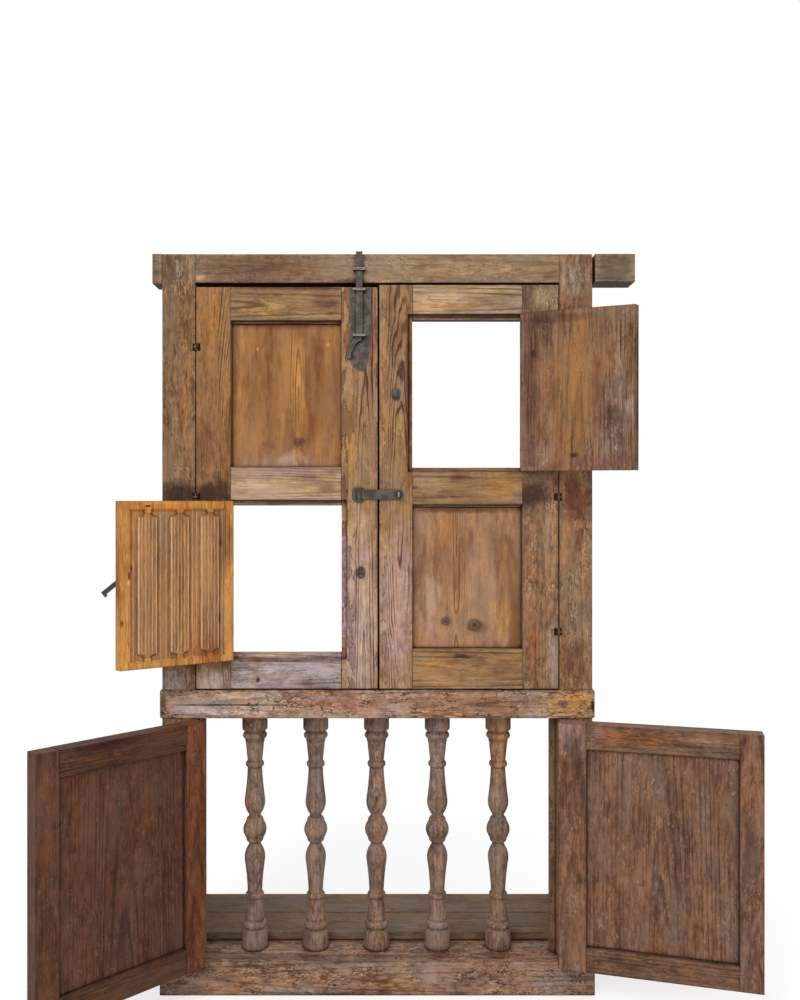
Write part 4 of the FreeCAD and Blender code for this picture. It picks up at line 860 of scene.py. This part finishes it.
def turned_post(x, y, profile, start):
    """The corners and faces of one closed post, its corners counted from start."""
    vertices, faces = [], []
    for z, radius in profile:
        for side in range(BALUSTER_SIDES):
            angle = 2 * math.pi * side / BALUSTER_SIDES
            vertices.append((x + radius * math.cos(angle), y + radius * math.sin(angle), z))
    for ring in range(len(profile) - 1):
        for side in range(BALUSTER_SIDES):
            a = start + ring * BALUSTER_SIDES + side
            b = start + ring * BALUSTER_SIDES + (side + 1) % BALUSTER_SIDES
            faces.append((a, b, b + BALUSTER_SIDES, a + BALUSTER_SIDES))
    faces.append(tuple(start + side for side in reversed(range(BALUSTER_SIDES))))
    last = start + (len(profile) - 1) * BALUSTER_SIDES
    faces.append(tuple(last + side for side in range(BALUSTER_SIDES)))
    return vertices, faces


def turned_balusters(groups):
    """The row of balusters, each turned from one smooth profile, mirrored about its middle."""
    low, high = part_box("balusters")
    foot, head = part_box("bottom_rail")[1].z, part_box("mid_rail")[0].z
    half = (head - foot) / 2
    shares = COLLAR_SHARES + SHAFT_SHARES
    profile = [(foot + half * up, BALUSTER_RADIUS * out) for up, out in shares]
    profile += [(head - half * up, BALUSTER_RADIUS * out) for up, out in shares[-2::-1]]
    first = (low.x + high.x) / 2 - BALUSTER_PITCH * (BALUSTER_COUNT - 1) / 2
    vertices, faces = [], []
    for n in range(BALUSTER_COUNT):
        corners, sides = turned_post(first + BALUSTER_PITCH * n, (low.y + high.y) / 2, profile, len(vertices))
        vertices += corners
        faces += sides
    piece = mesh_piece("turned_balusters", vertices, faces)
    set_material(piece, timber_material("turned_wood", groups, "balusters"))
    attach(piece, "frame")
    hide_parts("balusters")


def step(value, low, high):
    share = min(max((value - low) / (high - low), 0.0), 1.0)
    return share * share * (3 - 2 * share)


def gauss(value, centre, width):
    return math.exp(-((value - centre) / width) ** 2)


def waver(n, z, size):
    """A slow, uneven drift along the board, -1 to 1 times size; n sets it apart."""
    return size * (math.sin(31 * z + 2.1 * n) + math.sin(83 * z + 4.7 * n) + math.sin(211 * z + n)) / 3


def fold_height(x, z, field):
    """The linenfold at a point of the field: its depth below the face, and how far the point
    is ridge, groove or margin. Each fold is a raised strip of pleats with a neck at both ends."""
    x0, x1, z0, z1 = field
    across = (x1 - x) / (x1 - x0)
    n = min(range(len(FOLD_CENTRES)), key=lambda k: abs(across - FOLD_CENTRES[k]))
    v = (across - FOLD_CENTRES[n]) / FOLD_HALF + waver(n, z, 0.022)
    tip = min(z1 - FOLD_END_GAP - z, z - z0 - FOLD_END_GAP) + waver(n + 5, x, 0.0012)
    half = FOLD_NECK + 0.12 * gauss(tip, 0.004, 0.003) + FOLD_BODY * step(tip, 0.009, FOLD_POINT)
    bay = half - abs(v)  # 0 on the outline, above 0 inside
    inside = step(bay, -0.03, 0.03)
    deep = step(tip, FOLD_POINT - 0.004, FOLD_POINT + 0.004)
    # the ridge share also sets the painted highlight, stronger on a fold's left side, where the light falls
    ridge = (1.0 if v < 0 else 0.45) * gauss(bay, 0.10, 0.075) * step(tip, 0.010, 0.014)
    groove = (0.50 if v < 0 else 0.6) * gauss(bay, -0.10, 0.07) * (0.35 + 0.65 * deep)
    strong = 0.75 + waver(n + 3, z * 2.3, 0.25)
    for k, (place, ridged, grooved) in enumerate(PLEATS):
        there = place + waver(n + k, z, 0.018)
        fades = strong * (0.7 + waver(k + 2 * n, z * 1.7, 0.3)) * (deep if abs(place) < 1 else 1.0)
        ridge = max(ridge, ridged * fades * gauss(v, there, RIDGE_WIDTH))
        groove = max(groove, grooved * fades * gauss(v, there + GROOVE_OFFSET, GROOVE_WIDTH))
    curl = (1 - deep) * step(tip, 0.012, 0.018)
    groove = max(groove, 0.3 * curl * gauss(bay, 0.34, 0.08))
    ridge = max(ridge, 0.6 * curl * gauss(bay, 0.50, 0.08))
    boss = inside * step(0.010 - tip, 0.0, 0.004)
    depth = FOLD_GROUND - inside * (0.0018 + 0.0010 * (1 - v * v)) - ridge * 0.0014 + groove * 0.0012
    return max(depth * (1 - boss), 0.0), ridge, groove * strong, boss


def inside_by(x, z, area):
    """How far a point lies inside an area of lowest and highest X and Z."""
    x0, x1, z0, z1 = area
    return min(x - x0, x1 - x, z - z0, z1 - z)


def carve(x, z, board, field):
    """How deep a point of the wicket's face lies, and its ridge, groove and margin shares."""
    edge = inside_by(x, z, field)
    if edge <= 0:
        return RIM_DEPTH * (1 - step(inside_by(x, z, board), 0.0, RIM_WIDTH)), 0.0, 0.0, 1.0
    sunk = step(edge, 0.0, SUNK_STEP)
    depth, ridge, groove, boss = fold_height(x, z, field)
    return sunk * depth, sunk * ridge, sunk * groove, max(1 - sunk, boss)


def board_faces(wide, tall, outer):
    """The faces of a board: a grid of wide by tall corners, four outer corners, four edges."""
    faces = [(a + 1, a, a + wide, a + wide + 1)
             for r in range(tall - 1) for a in range(r * wide, r * wide + wide - 1)]
    a, b, c, d = outer
    bottom = list(range(wide))
    top = [(tall - 1) * wide + n for n in range(wide)]
    left = [n * wide for n in range(tall)]
    right = [n * wide + wide - 1 for n in range(tall)]
    edges = [[b, a] + bottom, [d, c] + top[::-1], [a, d] + left[::-1], [c, b] + right]
    return faces + [(a, b, c, d)] + [tuple(edge) for edge in edges]


def carved_wicket(groups):
    """The left wicket's board with its linenfold carving, cut as one height field."""
    joint = next(j for j in frame["joints"] if j["name"] == "left_wicket_hinge")
    pin = Vector((joint["pos_m"][0], joint["pos_m"][1], 0))
    turn = math.radians(OPEN_LEAVES["left_wicket_board"])
    place = Matrix.Translation(pin) @ Matrix.Rotation(turn, 4, "Z")
    back = place.inverted()
    own = [back @ v.co for v in frame["nodes"]["left_wicket_board"].data.vertices]
    (x0, x1), (y0, y1), (z0, z1) = [(min(axis), max(axis)) for axis in zip(*own)]
    inner_x1 = x1 - WICKET_BEVEL
    board = (x0, inner_x1, z0, z1)
    hinge, free, bottom, top = FOLD_MARGINS
    field = (x0 + hinge, inner_x1 - free, z0 + bottom, z1 - top)

    across, up = CARVING_GRID
    columns = [x0 + (inner_x1 - x0) * n / across for n in range(across + 1)]
    rows = [z0 + (z1 - z0) * n / up for n in range(up + 1)]
    vertices, paint = [], []
    for z in rows:
        for x in columns:
            depth, ridge, groove, margin = carve(x, z, board, field)
            vertices.append(place @ Vector((x, y1 - depth, z)))
            # the ridge and groove shares carry the painted highlight and painted shade to the material
            paint += [ridge, groove, margin, 1.0]
    outer = range(len(vertices), len(vertices) + 4)
    for x, z in ((x0, z0), (x1, z0), (x1, z1), (x0, z1)):
        vertices.append(place @ Vector((x, y0, z)))
        paint += [0.0, 0.0, OUTER_GOLD, 1.0]
    piece = mesh_piece("carved_wicket_board", vertices, board_faces(len(columns), len(rows), outer))
    mesh = piece.data
    mesh.color_attributes.new("carving", "FLOAT_COLOR", "POINT").data.foreach_set("color", paint)
    for face in mesh.polygons:
        face.use_smooth = len(face.vertices) == 4 and face.area < SMOOTH_AREA
    set_material(piece, timber_material("carved_wood", groups, "left_wicket_board"))
    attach(piece, "left_wicket")
    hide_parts("left_wicket_board")


def make_camera():
    data = bpy.data.cameras.new("view")
    data.lens = LENS
    data.sensor_width = SENSOR
    data.shift_x = CENTRE_SHIFT
    camera = new_object("view", data)
    camera.location = EYE
    camera.rotation_euler = (math.radians(90), 0, 0)
    bpy.context.scene.camera = camera


def lamp(name, place, target, width, height, watts):
    data = bpy.data.lights.new(name, "AREA")
    data.shape = "RECTANGLE"
    data.size = width
    data.size_y = height
    data.energy = watts
    piece = new_object(name, data)
    piece.location = place
    piece.rotation_euler = (Vector(target) - Vector(place)).to_track_quat("-Z", "Y").to_euler()


def seen_directly(net):
    """1 for rays that show a surface or the world as itself, in a mirror or through glass."""
    rays = net.add("LightPath").outputs
    seen = net.larger(rays["Is Camera Ray"], rays["Is Glossy Ray"])
    return net.larger(seen, rays["Is Transmission Ray"])


def make_world():
    """Even light from all round, seen as plain white."""
    world = bpy.data.worlds.new("studio")
    world.use_nodes = True
    world.node_tree.nodes.clear()
    bpy.context.scene.world = world
    net = Net(world.node_tree)
    strength = net.ramp(seen_directly(net), 0.0, 1.0, WORLD_LIGHT, 1.0)
    light = net.add("Background", {"Color": WHITE, "Strength": strength})
    net.add("OutputWorld", {"Surface": light.outputs[0]})


def make_floor():
    """A pale floor that keeps the object's shadow and turns to plain white further out."""
    corners = ((-1, -1), (1, -1), (1, 1), (-1, 1))
    floor = mesh_piece("floor", [(x * FLOOR_REACH, y * FLOOR_REACH, 0) for x, y in corners], [(0, 1, 2, 3)])
    material, net = new_material("floor")
    seen = seen_directly(net)
    grey = net.add("BsdfDiffuse", {"Color": (FLOOR_GREY, FLOOR_GREY, FLOOR_GREY, 1)})
    glow = net.add("Emission", {"Color": WHITE, "Strength": net.times(seen, FLOOR_GLOW)})
    near = net.add("AddShader", {0: grey.outputs[0], 1: glow.outputs[0]})
    white = net.add("Emission", {"Color": WHITE, "Strength": 1.0})
    away = net.vector("LENGTH", net.add("TexCoord").outputs["Object"])
    share = net.times(seen, net.ramp(away, *WHITE_RANGE))
    both = net.add("MixShader", {0: share, 1: near.outputs[0], 2: white.outputs[0]})
    net.add("OutputMaterial", {"Surface": both.outputs[0]})
    set_material(floor, material)


def dress_wood(groups):
    for name in WOOD:
        if name not in REPLACED:
            piece = frame["nodes"][name]
            set_material(piece, timber_material(name, groups))
            soften(piece, WEAR.get(name, BOARD_WEAR))


def dress_iron():
    # edges get painted highlight with wear: faint on old iron, strong on rubbed iron, none on rusted iron
    dull = iron_material("old_iron", 0.20, 0.002)
    rubbed_and_highlit = iron_material("rubbed_highlit_iron", 0.9, 0.005)
    brown = iron_material("rusted_iron", 0.0, 0.002, 0.75)
    for name, piece in frame["nodes"].items():
        if name not in WOOD:
            set_material(piece, rubbed_and_highlit if name in RUBBED_AND_HIGHLIT else brown if name in RUSTED else dull)
            soften(piece, IRON_WEAR)


def main():
    bpy.context.scene.view_settings.view_transform = "Standard"
    make_camera()
    make_world()
    for name, settings in LAMPS.items():
        lamp(name, *settings)
    make_floor()
    groups = {"timber": timber_group(), "mark": mark_group()}
    turned_balusters(groups)
    carved_wicket(groups)
    dress_wood(groups)
    dress_iron()


main()
